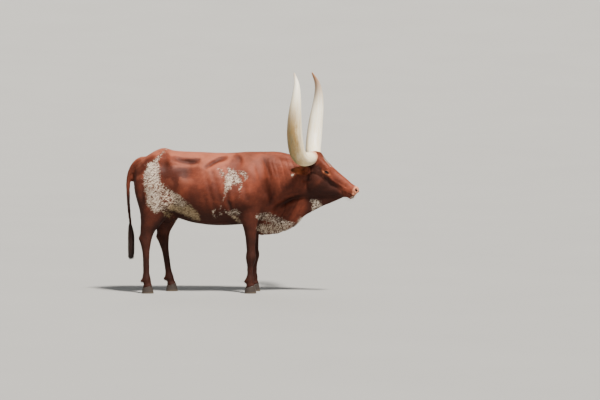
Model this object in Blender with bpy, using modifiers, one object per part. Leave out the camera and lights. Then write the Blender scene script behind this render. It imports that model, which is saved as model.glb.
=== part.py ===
"""A grown Ankole-Watusi cow as a still, life-size model, standing at rest.

The cow faces +X, its right side faces -Y and +Z is up. All sizes are in metres. The flesh
is modelled whole: lofts through named ribs make the trunk, neck, head, dewlap and legs,
ellipsoids make the bones and muscles that show, a voxel remesh fuses them, and hollows are
pressed in. The whole is then parted into named nodes with cuts 0.3 mm wide. The horns,
eyes, claws and tail are set into the flesh with the same gap.
"""

import math
from typing import NamedTuple

import bmesh
import bpy
import numpy as np
from mathutils import Matrix, Vector
from mathutils.bvhtree import BVHTree

# Driving sizes
GAP = 0.0003
BODY_VOXEL = 0.0085
HEAD_VOXEL = 0.0048
BODY_TRIANGLES = 5600
HEAD_TRIANGLES = 2400
POLL = Vector((0.722, 0.0, 1.302))
FACE_SLOPE = math.radians(44.0)
HEAD_TURN = math.radians(12.0)
TURN_PIVOT_X = 0.29
TURN_FROM_X = 0.14
TURN_TO_X = 0.44
EYE_RADIUS = 0.0205
LID_THICKNESS = 0.0035
LID_SET_BACK = 0.006
LID_OPENING = (0.0190, 0.0108)
LID_SLOPE = math.radians(26.0)
NOSTRIL_SIZE = (0.014, 0.010, 0.0085)
MOUTH_GAP = 0.0012
MOUTH_DEPTH = 0.008
EAR_LENGTH = 0.190
EAR_WIDTH = 0.074
EAR_WALL = 0.0050
EAR_BASE = 0.024
EAR_SEAT = 0.022
CORONET_FRONT = 0.076
CORONET_HEEL = 0.050
CLAW_LENGTH = 0.112
CLAW_WIDTH = 0.043
CLEFT = 0.006
RIGHT = -1
LEFT = 1

# Directions of the head's own frame, with its forehead line running down to the muzzle
FACE_DOWN = Vector((math.cos(FACE_SLOPE), 0.0, -math.sin(FACE_SLOPE)))
FACE_OUT = Vector((math.sin(FACE_SLOPE), 0.0, math.cos(FACE_SLOPE)))

# The plane between neck and head, in the unturned frame, slanted to pass behind the jaw
HEAD_CUT_POINT = Vector((0.645, 0.0, 1.25))
HEAD_CUT_WAY = Vector((0.954, 0.0, -0.300)).normalized()


class Rib(NamedTuple):
    """A cross-section between two points in (x, z), with its shape across the body.

    wide is the share of its height, from the bottom, where it is widest. roof and keel say
    how full the upper and lower halves are: 2 is an ellipse, less is a ridge, more a box.
    """

    top: tuple
    bottom: tuple
    half: float
    wide: float = 0.45
    roof: float = 2.0
    keel: float = 2.0
    y: float = 0.0


TRUNK = [
    Rib((-1.012, 1.085), (-1.000, 0.960), 0.050),
    Rib((-0.975, 1.172), (-0.970, 0.880), 0.115, 0.60),
    Rib((-0.915, 1.238), (-0.910, 0.820), 0.160, 0.62),
    Rib((-0.830, 1.296), (-0.830, 0.775), 0.192, 0.62, 1.8),
    Rib((-0.725, 1.341), (-0.725, 0.740), 0.215, 0.66, 1.5),
    Rib((-0.630, 1.310), (-0.630, 0.700), 0.232, 0.62, 1.9, 1.9),
    Rib((-0.500, 1.303), (-0.500, 0.652), 0.250, 0.46, 1.9),
    Rib((-0.340, 1.297), (-0.340, 0.622), 0.276, 0.42, 1.8),
    Rib((-0.160, 1.290), (-0.160, 0.616), 0.282, 0.42, 1.7),
    Rib((0.000, 1.300), (0.000, 0.626), 0.252, 0.42, 1.65),
    Rib((0.140, 1.306), (0.140, 0.640), 0.215, 0.42, 1.6),
    Rib((0.260, 1.306), (0.260, 0.690), 0.176, 0.42, 1.6),
    Rib((0.370, 1.285), (0.360, 0.790), 0.130, 0.45, 1.7),
]

NECK = [
    Rib((0.100, 1.290), (0.160, 0.690), 0.180, 0.42, 1.6),
    Rib((0.220, 1.306), (0.290, 0.745), 0.158, 0.42, 1.6),
    Rib((0.330, 1.306), (0.380, 0.815), 0.130, 0.42, 1.7),
    Rib((0.430, 1.281), (0.465, 0.862), 0.110, 0.45, 1.8),
    Rib((0.510, 1.250), (0.530, 0.872), 0.093, 0.48, 1.9),
    Rib((0.590, 1.250), (0.590, 0.890), 0.078, 0.50, 2.0),
    Rib((0.655, 1.272), (0.640, 0.960), 0.070, 0.50, 2.2),
]

JAW = [
    Rib((0.598, 1.080), (0.606, 0.950), 0.050, 0.50),
    Rib((0.622, 1.120), (0.622, 0.917), 0.080, 0.60, 2.2, 2.5),
    Rib((0.665, 1.150), (0.662, 0.904), 0.090, 0.60, 2.2, 2.6),
    Rib((0.720, 1.150), (0.715, 0.900), 0.089, 0.60, 2.2, 2.6),
    Rib((0.780, 1.110), (0.772, 0.898), 0.077, 0.58, 2.2, 2.5),
    Rib((0.845, 1.060), (0.835, 0.895), 0.062, 0.55, 2.2, 2.4),
    Rib((0.905, 1.010), (0.895, 0.890), 0.050, 0.55, 2.2, 2.4),
    Rib((0.960, 0.970), (0.950, 0.884), 0.041, 0.55, 2.2, 2.4),
    Rib((1.010, 0.935), (1.005, 0.877), 0.034, 0.55),
    Rib((1.040, 0.915), (1.040, 0.873), 0.024, 0.55),
]

THROAT = [
    Rib((0.500, 1.100), (0.510, 0.862), 0.080, 0.50),
    Rib((0.580, 1.080), (0.580, 0.872), 0.070, 0.55),
    Rib((0.660, 1.020), (0.650, 0.878), 0.056, 0.60),
    Rib((0.740, 0.980), (0.730, 0.880), 0.044, 0.60),
    Rib((0.830, 0.950), (0.820, 0.878), 0.032, 0.60),
    Rib((0.900, 0.930), (0.890, 0.876), 0.022, 0.60),
]

DEWLAP = [
    Rib((0.960, 0.935), (0.955, 0.888), 0.012, 0.60),
    Rib((0.905, 0.940), (0.898, 0.862), 0.018, 0.62, 2.0, 2.2),
    Rib((0.835, 0.960), (0.822, 0.828), 0.026, 0.66, 2.0, 2.1),
    Rib((0.750, 0.960), (0.742, 0.795), 0.028, 0.68, 2.0, 2.0),
    Rib((0.660, 0.950), (0.648, 0.746), 0.028, 0.70, 2.0, 2.0),
    Rib((0.590, 0.930), (0.572, 0.700), 0.029, 0.70, 2.0, 1.9),
    Rib((0.520, 0.910), (0.515, 0.630), 0.031, 0.70, 2.0, 1.9),
    Rib((0.430, 0.880), (0.428, 0.576), 0.035, 0.68, 2.0, 1.9),
    Rib((0.330, 0.830), (0.338, 0.543), 0.050, 0.66, 2.0, 1.9),
    Rib((0.240, 0.790), (0.245, 0.528), 0.072, 0.62, 2.0, 1.9),
    Rib((0.140, 0.770), (0.142, 0.532), 0.082, 0.60, 2.0, 1.9),
    Rib((0.030, 0.740), (0.035, 0.596), 0.070, 0.60),
]

# The head's ribs hold (distance below the poll, height over the forehead line)
HEAD = [
    Rib((-0.062, -0.070), (-0.062, -0.165), 0.052, 0.50),
    Rib((-0.035, -0.030), (-0.030, -0.215), 0.078, 0.62, 2.4),
    Rib((0.010, -0.006), (0.010, -0.248), 0.090, 0.66, 2.8, 1.9),
    Rib((0.060, -0.012), (0.060, -0.265), 0.095, 0.66, 2.9, 1.8),
    Rib((0.120, -0.020), (0.120, -0.268), 0.094, 0.66, 2.9, 1.8),
    Rib((0.180, -0.018), (0.180, -0.258), 0.088, 0.66, 2.8, 1.8),
    Rib((0.240, -0.015), (0.240, -0.236), 0.078, 0.64, 2.5, 1.8),
    Rib((0.300, -0.011), (0.300, -0.206), 0.067, 0.60, 2.3, 1.9),
    Rib((0.370, -0.004), (0.370, -0.168), 0.058, 0.56, 2.2, 2.0),
    Rib((0.430, -0.001), (0.430, -0.138), 0.056, 0.52, 2.3, 2.1),
    Rib((0.470, 0.008), (0.468, -0.120), 0.061, 0.55, 2.5, 2.2),
    Rib((0.500, 0.002), (0.497, -0.108), 0.055, 0.55, 2.4, 2.2),
    Rib((0.514, -0.026), (0.512, -0.088), 0.034, 0.55),
]

# A leg's ribs hold its front and back edges at one height
FORELEG = [
    Rib((0.215, 0.940), (-0.050, 0.960), 0.050, y=0.150),
    Rib((0.200, 0.830), (-0.060, 0.830), 0.060, y=0.152),
    Rib((0.168, 0.720), (-0.042, 0.715), 0.060, y=0.152),
    Rib((0.142, 0.630), (0.000, 0.625), 0.053, y=0.150),
    Rib((0.130, 0.540), (0.022, 0.540), 0.045, y=0.147),
    Rib((0.124, 0.450), (0.032, 0.450), 0.039, y=0.144),
    Rib((0.122, 0.390), (0.034, 0.390), 0.038, y=0.142),
    Rib((0.127, 0.335), (0.030, 0.335), 0.042, 0.5, 2.4, 2.4, y=0.142),
    Rib((0.115, 0.280), (0.038, 0.280), 0.036, y=0.141),
    Rib((0.104, 0.235), (0.043, 0.235), 0.029, y=0.141),
    Rib((0.101, 0.175), (0.042, 0.175), 0.029, y=0.141),
    Rib((0.107, 0.130), (0.028, 0.125), 0.037, y=0.141),
    Rib((0.107, 0.098), (0.036, 0.088), 0.035, y=0.141),
    Rib((0.116, 0.072), (0.028, 0.052), 0.042, 0.5, 2.2, 2.2, y=0.141),
    Rib((0.122, 0.040), (0.026, 0.030), 0.042, 0.5, 2.2, 2.2, y=0.141),
]

HINDLEG = [
    Rib((-0.670, 1.120), (-0.985, 1.060), 0.070, y=0.130),
    Rib((-0.625, 0.980), (-1.000, 0.970), 0.088, y=0.135),
    Rib((-0.612, 0.850), (-0.978, 0.860), 0.088, y=0.138),
    Rib((-0.635, 0.760), (-0.950, 0.760), 0.075, y=0.142),
    Rib((-0.705, 0.670), (-0.938, 0.670), 0.058, y=0.145),
    Rib((-0.775, 0.595), (-0.937, 0.595), 0.046, y=0.145),
    Rib((-0.814, 0.535), (-0.942, 0.535), 0.039, y=0.144),
    Rib((-0.832, 0.480), (-0.943, 0.490), 0.041, 0.5, 2.3, 2.3, y=0.143),
    Rib((-0.843, 0.420), (-0.928, 0.420), 0.037, y=0.142),
    Rib((-0.850, 0.360), (-0.917, 0.360), 0.032, y=0.142),
    Rib((-0.852, 0.260), (-0.913, 0.260), 0.029, y=0.142),
    Rib((-0.850, 0.185), (-0.913, 0.185), 0.030, y=0.142),
    Rib((-0.840, 0.138), (-0.921, 0.132), 0.038, y=0.142),
    Rib((-0.836, 0.100), (-0.908, 0.090), 0.035, y=0.142),
    Rib((-0.827, 0.072), (-0.914, 0.052), 0.042, 0.5, 2.2, 2.2, y=0.142),
    Rib((-0.820, 0.040), (-0.916, 0.030), 0.042, 0.5, 2.2, 2.2, y=0.142),
]

# How far each foot stands forward of the pattern leg, and the height where that fades out
FORE_STEP = {RIGHT: 0.0, LEFT: 0.034}
HIND_STEP = {RIGHT: 0.0, LEFT: 0.215}
STEP_FADES_AT = 0.98


class Swell(NamedTuple):
    """A bone that stands out from the flesh, as an ellipsoid on each side of the body."""

    centre: tuple
    radii: tuple
    pitch: float = 0.0


# The udder and its teats, as ellipsoids
UDDER = Swell((-0.690, 0.032, 0.722), (0.110, 0.042, 0.072))
TEATS = [
    Swell((-0.650, 0.036, 0.640), (0.011, 0.011, 0.034)),
    Swell((-0.725, 0.034, 0.650), (0.011, 0.011, 0.034)),
]

LEG_SWELLS = {
    "fore": [
        Swell((-0.034, 0.150, 0.725), (0.030, 0.028, 0.042)),
        Swell((0.100, 0.142, 0.338), (0.028, 0.041, 0.044)),
        Swell((0.026, 0.160, 0.112), (0.014, 0.012, 0.017)),
        Swell((0.026, 0.122, 0.112), (0.014, 0.012, 0.017)),
    ],
    "hind": [
        Swell((-0.936, 0.143, 0.505), (0.018, 0.022, 0.034)),
        Swell((-0.925, 0.161, 0.118), (0.014, 0.012, 0.017)),
        Swell((-0.925, 0.123, 0.118), (0.014, 0.012, 0.017)),
    ],
}

# Places in the head's own frame hold: down the face, sideways, out from the face
HEAD_SWELLS = [
    Swell((0.000, 0.062, -0.072), (0.052, 0.046, 0.050)),
    Swell((0.485, 0.014, -0.098), (0.032, 0.030, 0.020)),
    Swell((0.488, 0.030, -0.024), (0.026, 0.026, 0.026)),
]
EYE_PLACE = (0.187, 0.0780, -0.080)
NOSTRIL_PLACE = (0.488, 0.080, -0.018)
MOUTH_FRONT = (0.500, -0.069)
MOUTH_CORNER = (0.425, -0.096)
EAR_ROOT = (0.066, 0.078, -0.174)
EAR_AXIS = Vector((-0.60, 0.80, 0.0)).normalized()
EAR_OPENING = Vector((0.78, 0.58, -0.20)).normalized()


class HornPoint(NamedTuple):
    """A point of a horn's middle line, in the unturned frame, with the horn's radius there."""

    x: float
    side: float
    z: float
    radius: float


HORN = [
    HornPoint(0.664, 0.060, 1.250, 0.056),
    HornPoint(0.645, 0.150, 1.236, 0.061),
    HornPoint(0.610, 0.255, 1.243, 0.067),
    HornPoint(0.585, 0.350, 1.300, 0.072),
    HornPoint(0.579, 0.430, 1.430, 0.072),
    HornPoint(0.585, 0.475, 1.565, 0.066),
    HornPoint(0.598, 0.500, 1.700, 0.055),
    HornPoint(0.607, 0.492, 1.820, 0.040),
    HornPoint(0.600, 0.455, 1.925, 0.024),
    HornPoint(0.565, 0.392, 2.022, 0.006),
]


class TailPoint(NamedTuple):
    """A point of the tail's middle line, with its radius there."""

    x: float
    z: float
    radius: float


TAIL = [
    TailPoint(-0.860, 1.225, 0.030),
    TailPoint(-0.930, 1.222, 0.031),
    TailPoint(-0.985, 1.187, 0.030),
    TailPoint(-1.022, 1.135, 0.026),
    TailPoint(-1.043, 1.080, 0.023),
    TailPoint(-1.054, 1.000, 0.021),
    TailPoint(-1.054, 0.900, 0.018),
    TailPoint(-1.048, 0.780, 0.016),
    TailPoint(-1.038, 0.680, 0.014),
    TailPoint(-1.030, 0.610, 0.013),
]
SWITCH_CORE = [
    TailPoint(-1.0300, 0.6076, 0.013),
    TailPoint(-1.029, 0.580, 0.016),
    TailPoint(-1.028, 0.540, 0.017),
    TailPoint(-1.027, 0.500, 0.014),
    TailPoint(-1.027, 0.460, 0.006),
]
SWITCH_LOCKS = 11
SWITCH_TIP_Z = 0.300
LOCK_WIDTH = 0.0155
LOCK_THICKNESS = 0.0042


class Relief(NamedTuple):
    """A soft raise, or a dent where rise is below 0, pressed into each side of the body.

    radii are along the body, across it and up, and pitch turns them nose up, in degrees.
    """

    centre: tuple
    radii: tuple
    rise: float
    pitch: float = 0.0


BODY_RELIEF = {
    "loin edge hollow": Relief((-0.520, 0.235, 1.190), (0.120, 0.120, 0.030), -0.022),
    "flank hollow": Relief((-0.490, 0.250, 1.110), (0.090, 0.120, 0.090), -0.016),
    "last rib edge": Relief((-0.255, 0.235, 1.195), (0.100, 0.100, 0.024), -0.012, 28.0),
    "rump hollow": Relief((-0.760, 0.200, 1.190), (0.095, 0.100, 0.050), -0.018, -25.0),
    "hip bone": Relief((-0.650, 0.230, 1.225), (0.040, 0.080, 0.034), 0.016, 20.0),
    "thurl": Relief((-0.800, 0.220, 1.040), (0.120, 0.120, 0.130), 0.026, 20.0),
    "stifle": Relief((-0.665, 0.230, 0.820), (0.060, 0.080, 0.080), 0.026, -15.0),
    "thigh groove": Relief((-0.900, 0.230, 0.960), (0.030, 0.080, 0.160), -0.012, -12.0),
    "shoulder blade": Relief((0.110, 0.190, 1.050), (0.080, 0.120, 0.200), 0.026, 14.0),
    "upper arm": Relief((0.030, 0.210, 0.870), (0.090, 0.100, 0.110), 0.024, -30.0),
    "shoulder point": Relief((0.235, 0.180, 0.860), (0.045, 0.080, 0.050), 0.024),
    "behind the withers": Relief((-0.025, 0.190, 1.215), (0.045, 0.090, 0.050), -0.010),
    "shoulder front": Relief((0.245, 0.170, 1.090), (0.030, 0.100, 0.140), -0.014, 12.0),
    "under the crest": Relief((0.400, 0.100, 1.215), (0.120, 0.090, 0.026), -0.009, -12.0),
    "flank fold": Relief((-0.600, 0.240, 0.720), (0.055, 0.120, 0.060), -0.018, 30.0),
    "behind the elbow": Relief((-0.070, 0.240, 0.750), (0.035, 0.120, 0.090), -0.014, 10.0),
}


HEAD_RELIEF = {
    "brow": Relief((0.160, 0.085, -0.040), (0.045, 0.045, 0.020), 0.011),
    "orbit": Relief((0.187, 0.100, -0.078), (0.045, 0.050, 0.036), 0.006),
    "temple": Relief((0.095, 0.095, -0.075), (0.035, 0.050, 0.030), -0.011),
    "before the eye": Relief((0.245, 0.080, -0.060), (0.035, 0.050, 0.028), -0.007),
    "cheek": Relief((0.160, 0.095, -0.200), (0.070, 0.060, 0.065), 0.008),
    "face ridge": Relief((0.275, 0.085, -0.098), (0.060, 0.040, 0.012), 0.006),
    "under the ridge": Relief((0.290, 0.080, -0.135), (0.055, 0.050, 0.030), -0.009),
    "before the cheek": Relief((0.275, 0.080, -0.215), (0.030, 0.050, 0.060), -0.006, -20.0),
    "behind the jaw": Relief((0.080, 0.100, -0.290), (0.060, 0.070, 0.016), -0.012, 44.0),
    "snout": Relief((0.390, 0.060, -0.060), (0.045, 0.040, 0.045), -0.004),
    "forehead": Relief((0.130, 0.000, 0.000), (0.060, 0.035, 0.030), -0.004),
    "chin groove": Relief((0.430, 0.040, -0.120), (0.020, 0.050, 0.020), -0.006),
}


def clear_scene():
    """Removes what the startup scene holds."""
    for found in list(bpy.data.objects):
        bpy.data.objects.remove(found)


def eased(rows, steps):
    """Rows of numbers with steps rows for each gap, filled in on Catmull-Rom curves."""
    rows = np.asarray(rows, float)
    ends = np.vstack([2 * rows[0] - rows[1], rows, 2 * rows[-1] - rows[-2]])
    t = np.linspace(0.0, 1.0, steps, endpoint=False)[:, None]
    filled = [
        b
        + 0.5 * (c - a) * t
        + (a - 2.5 * b + 2 * c - 0.5 * d) * t**2
        + 0.5 * (3 * b - a - 3 * c + d) * t**3
        for a, b, c, d in zip(ends, ends[1:], ends[2:], ends[3:])
    ]
    return np.vstack([*filled, rows[-1:]])


def ring_faces(rings, segments):
    """Quads between rings of points that follow one another, with a fan to a point at each end."""
    quads = [
        (i * segments + j, i * segments + (j + 1) % segments,
         (i + 1) * segments + (j + 1) % segments, (i + 1) * segments + j)
        for i in range(rings - 1)
        for j in range(segments)
    ]
    first, last = rings * segments, rings * segments + 1
    start = (rings - 1) * segments
    fans = [(first, (j + 1) % segments, j) for j in range(segments)]
    fans += [(last, start + j, start + (j + 1) % segments) for j in range(segments)]
    return quads + fans


def mesh_object(name, points, faces):
    """A new mesh object whose faces point outwards."""
    mesh = bpy.data.meshes.new(name)
    mesh.from_pydata([tuple(p) for p in points], [], faces)
    outwards = bmesh.new()
    outwards.from_mesh(mesh)
    bmesh.ops.recalc_face_normals(outwards, faces=outwards.faces)
    outwards.to_mesh(mesh)
    outwards.free()
    made = bpy.data.objects.new(name, mesh)
    bpy.context.scene.collection.objects.link(made)
    return made


def closed_tube(name, rings):
    """A closed mesh over an array of rings, shaped (rings, segments, 3)."""
    rings = np.asarray(rings, float)
    points = np.vstack([rings.reshape(-1, 3), rings[0].mean(0), rings[-1].mean(0)])
    return mesh_object(name, points, ring_faces(len(rings), rings.shape[1]))


def swept_tube(name, path, radii, segments=16, steps=3, extra=0.0):
    """A round tube along a smooth curve. extra widens it all over, and past its ends, by that much."""
    rows = eased([(*point, radius) for point, radius in zip(path, radii)], steps)
    centres, radii = rows[:, :3], rows[:, 3] + extra
    ways = np.gradient(centres, axis=0)
    ways /= np.linalg.norm(ways, axis=1)[:, None]
    centres[0] -= ways[0] * extra
    centres[-1] += ways[-1] * extra
    across = np.cross(ways[0], (0.31, 0.52, 0.79))
    rings = []
    around = np.linspace(0.0, 2.0 * math.pi, segments, endpoint=False)[:, None]
    for centre, way, radius in zip(centres, ways, radii):
        across = across - way * (across @ way)
        across /= np.linalg.norm(across)
        up = np.cross(way, across)
        rings.append(centre + radius * (np.cos(around) * across + np.sin(around) * up))
    return closed_tube(name, rings)


def rib_loft(name, ribs, side=0, segments=28, steps=4):
    """A closed loft through ribs. side is -1 or 1 for a limb of one side, and 0 in the middle."""
    rows = eased([(*r.top, *r.bottom, r.half, r.wide, r.roof, r.keel, r.y) for r in ribs], steps)
    around = np.linspace(0.0, 2.0 * math.pi, segments, endpoint=False)
    across, along = np.cos(around), np.sin(around)
    rings = []
    for tx, tz, bx, bz, half, wide, roof, keel, y in rows:
        power = np.where(along > 0.0, 2.0 / roof, 2.0 / keel)
        reach = np.sign(along) * np.abs(along) ** power
        share = wide + np.where(reach > 0.0, reach * (1.0 - wide), reach * wide)
        rings.append(
            np.stack(
                [
                    bx + (tx - bx) * share,
                    side * y + half * np.sign(across) * np.abs(across) ** power,
                    bz + (tz - bz) * share,
                ],
                axis=1,
            )
        )
    return closed_tube(name, rings)


def ellipsoid(name, centre, radii, turn=None, fineness=3):
    """A closed ellipsoid. turn is a rotation matrix or None."""
    ball = bmesh.new()
    bmesh.ops.create_icosphere(ball, subdivisions=fineness, radius=1.0)
    scale = Matrix.Diagonal((*radii, 1.0))
    ball.transform(Matrix.Translation(centre) @ (turn or Matrix.Identity(4)) @ scale)
    mesh = bpy.data.meshes.new(name)
    ball.to_mesh(mesh)
    ball.free()
    made = bpy.data.objects.new(name, mesh)
    bpy.context.scene.collection.objects.link(made)
    return made


def both_sides(swells):
    """Ellipsoids for a list of swells, on the right and the left."""
    made = []
    for swell in swells:
        turn = Matrix.Rotation(math.radians(swell.pitch), 4, "Y")
        for side in (RIGHT, LEFT):
            centre = (swell.centre[0], side * swell.centre[1], swell.centre[2])
            made.append(ellipsoid("swell", centre, swell.radii, turn))
    return made


def points_of(mesh):
    """A mesh's points as an array."""
    points = np.empty(len(mesh.vertices) * 3)
    mesh.vertices.foreach_get("co", points)
    return points.reshape(-1, 3)


def move_points(mesh, points):
    """Puts an array of points back into a mesh."""
    mesh.vertices.foreach_set("co", np.asarray(points, float).ravel())
    mesh.update()


def from_head(down, side, out):
    """A point of the head's own frame, in the frame of the unturned body."""
    return POLL + FACE_DOWN * down + FACE_OUT * out + Vector((0.0, side, 0.0))


def turned(points):
    """Points carried along as the head and neck turn to the right, about an upright axis."""
    points = np.array(points, float)
    share = np.clip((points[:, 0] - TURN_FROM_X) / (TURN_TO_X - TURN_FROM_X), 0.0, 1.0)
    angle = HEAD_TURN * share * share * (3.0 - 2.0 * share)
    x, y = points[:, 0] - TURN_PIVOT_X, points[:, 1].copy()
    points[:, 0] = TURN_PIVOT_X + x * np.cos(angle) + y * np.sin(angle)
    points[:, 1] = y * np.cos(angle) - x * np.sin(angle)
    return points


def turn_object(made):
    """Carries an object of the head or neck along with the head's turn."""
    move_points(made.data, turned(points_of(made.data)))
    return made


def joined(name, pieces):
    """One object that holds the meshes of several, which are removed."""
    gathered = bmesh.new()
    for piece in pieces:
        gathered.from_mesh(piece.data)
        bpy.data.objects.remove(piece)
    mesh = bpy.data.meshes.new(name)
    gathered.to_mesh(mesh)
    gathered.free()
    made = bpy.data.objects.new(name, mesh)
    bpy.context.scene.collection.objects.link(made)
    return made


def apply_modifiers(made):
    """Makes the evaluated mesh an object's own, and takes its modifiers away."""
    graph = bpy.context.evaluated_depsgraph_get()
    graph.update()
    mesh = bpy.data.meshes.new_from_object(made.evaluated_get(graph))
    made.modifiers.clear()
    made.data = mesh
    return made


def fused(name, pieces, voxel):
    """Overlapping closed shapes made one closed surface by a voxel remesh."""
    made = joined(name, pieces)
    remesh = made.modifiers.new("fuse", "REMESH")
    remesh.mode = "VOXEL"
    remesh.voxel_size = voxel
    remesh.adaptivity = 0.0
    return apply_modifiers(made)


def relaxed(made, rounds, pull=0.5, push=-0.52, share=None):
    """Smooths a mesh: each round pulls points together, then pushes them out to keep its size.

    share says how much each point takes part, as a function of its place, or all do.
    """
    mesh = made.data
    ends = np.empty(len(mesh.edges) * 2, int)
    mesh.edges.foreach_get("vertices", ends)
    first, second = ends.reshape(-1, 2).T
    points = points_of(mesh)
    count = np.bincount(first, minlength=len(points)) + np.bincount(second, minlength=len(points))
    part = np.ones(len(points)) if share is None else share(points)
    for _ in range(rounds):
        for amount in (pull, push):
            total = np.zeros_like(points)
            for axis in range(3):
                total[:, axis] = np.bincount(first, points[second, axis], len(points))
                total[:, axis] += np.bincount(second, points[first, axis], len(points))
            points += amount * part[:, None] * (total / count[:, None] - points)
    move_points(mesh, points)
    return made


def embossed(made, reliefs, origin=(0.0, 0.0, 0.0), slope=0.0):
    """Raises and dents a mesh along its normals, on both sides of the body.

    origin and slope set the frame that the reliefs are placed in, tipped nose down by slope.
    """
    mesh = made.data
    points = points_of(mesh)
    local = points - np.array(origin)
    down = local[:, 0] * math.cos(slope) - local[:, 2] * math.sin(slope)
    out = local[:, 0] * math.sin(slope) + local[:, 2] * math.cos(slope)
    local = np.stack([down, np.abs(local[:, 1]), out], axis=1)
    normals = np.empty(len(mesh.vertices) * 3)
    mesh.vertex_normals.foreach_get("vector", normals)
    normals = normals.reshape(-1, 3)
    rise = np.zeros(len(points))
    for relief in reliefs:
        pitch = math.radians(relief.pitch)
        away = local - relief.centre
        along = away[:, 0] * math.cos(pitch) + away[:, 2] * math.sin(pitch)
        upright = away[:, 2] * math.cos(pitch) - away[:, 0] * math.sin(pitch)
        reach = (
            (along / relief.radii[0]) ** 2
            + (away[:, 1] / relief.radii[1]) ** 2
            + (upright / relief.radii[2]) ** 2
        )
        rise += relief.rise * np.exp(-reach)
    move_points(mesh, points + normals * rise[:, None])
    return made


def thinned(made, triangles):
    """Cuts a mesh down to about a number of triangles."""
    mesh = made.data
    mesh.calc_loop_triangles()
    thin = made.modifiers.new("thin", "DECIMATE")
    thin.ratio = triangles / len(mesh.loop_triangles)
    return apply_modifiers(made)


def boolean(made, other, operation, solver="EXACT", keep_other=False):
    """Applies one Boolean to an object, and removes the other object unless it is kept."""
    step = made.modifiers.new("cut", "BOOLEAN")
    step.operation = operation
    step.solver = solver
    step.object = other
    apply_modifiers(made)
    if not keep_other:
        bpy.data.objects.remove(other)
    return made


def united(name, pieces):
    """Joins closed shapes into one closed body with one Boolean union on a collection."""
    rest = bpy.data.collections.new("pieces")
    for piece in pieces[1:]:
        rest.objects.link(piece)
    whole = pieces[0]
    whole.name = name
    step = whole.modifiers.new("union", "BOOLEAN")
    step.operation = "UNION"
    step.operand_type = "COLLECTION"
    step.collection = rest
    step.solver = "EXACT"
    apply_modifiers(whole)
    for piece in pieces[1:]:
        bpy.data.objects.remove(piece)
    bpy.data.collections.remove(rest)
    return largest_only(whole)


def copy_of(made, name):
    """A second object with its own copy of the mesh."""
    again = bpy.data.objects.new(name, made.data.copy())
    bpy.context.scene.collection.objects.link(again)
    return again


def largest_only(made):
    """Keeps only the largest closed surface of an object."""
    work = bmesh.new()
    work.from_mesh(made.data)
    bmesh.ops.remove_doubles(work, verts=work.verts, dist=1e-6)
    left = set(work.verts)
    shells = []
    while left:
        shell, front = set(), [next(iter(left))]
        while front:
            point = front.pop()
            if point in shell:
                continue
            shell.add(point)
            front.extend(edge.other_vert(point) for edge in point.link_edges)
        left -= shell
        shells.append(shell)
    shells.sort(key=len)
    for shell in shells[:-1]:
        bmesh.ops.delete(work, geom=list(shell), context="VERTS")
    bmesh.ops.triangulate(work, faces=work.faces)
    work.to_mesh(made.data)
    work.free()
    return made


def region(planes, size=2.4, centre=(0.0, 0.0, 0.9)):
    """A convex body bounded by planes, each a point and an outward normal."""
    work = bmesh.new()
    bmesh.ops.create_cube(work, size=2.0 * size)
    bmesh.ops.translate(work, verts=work.verts, vec=centre)
    for point, outward in planes:
        everything = work.verts[:] + work.edges[:] + work.faces[:]
        cut = bmesh.ops.bisect_plane(
            work, geom=everything, plane_co=point, plane_no=outward, clear_outer=True
        )
        rim = [item for item in cut["geom_cut"] if isinstance(item, bmesh.types.BMEdge)]
        bmesh.ops.contextual_create(work, geom=rim)
    bmesh.ops.recalc_face_normals(work, faces=work.faces)
    mesh = bpy.data.meshes.new("region")
    work.to_mesh(mesh)
    work.free()
    made = bpy.data.objects.new("region", mesh)
    bpy.context.scene.collection.objects.link(made)
    return made


def parted(whole, name, planes):
    """Takes the part of a whole inside some planes as a new node, and leaves a thin gap."""
    node = copy_of(whole, name)
    boolean(node, region(planes), "INTERSECT")
    wider = [(Vector(p) + Vector(n).normalized() * GAP, n) for p, n in planes]
    boolean(whole, region(wider), "DIFFERENCE")
    return largest_only(node)


def stepped(made, step):
    """Sets a leg forward: fully below the knee or hock, and less and less above it."""
    points = points_of(made.data)
    share = np.clip(1.0 - points[:, 2] / STEP_FADES_AT, 0.0, 1.0)
    points[:, 0] += step * share ** 0.55
    move_points(made.data, points)
    return made


def foot_place(ribs, side, steps):
    """Where a leg's foot stands: the middle of its lowest rib, set forward with the leg."""
    low = ribs[-1]
    share = (1.0 - low.top[1] / STEP_FADES_AT) ** 0.55
    middle = (low.top[0] + low.bottom[0]) / 2.0 + steps[side] * share
    return Vector((middle, side * low.y, 0.0))


def leg(ribs, swells, side, step):
    """The flesh of one leg down into its hoof, as loose closed shapes."""
    shapes = [rib_loft("leg", ribs, side, segments=20)]
    for swell in swells:
        centre = (swell.centre[0], side * swell.centre[1], swell.centre[2])
        shapes.append(ellipsoid("swell", centre, swell.radii, fineness=2))
    return [stepped(shape, step) for shape in shapes]


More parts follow.
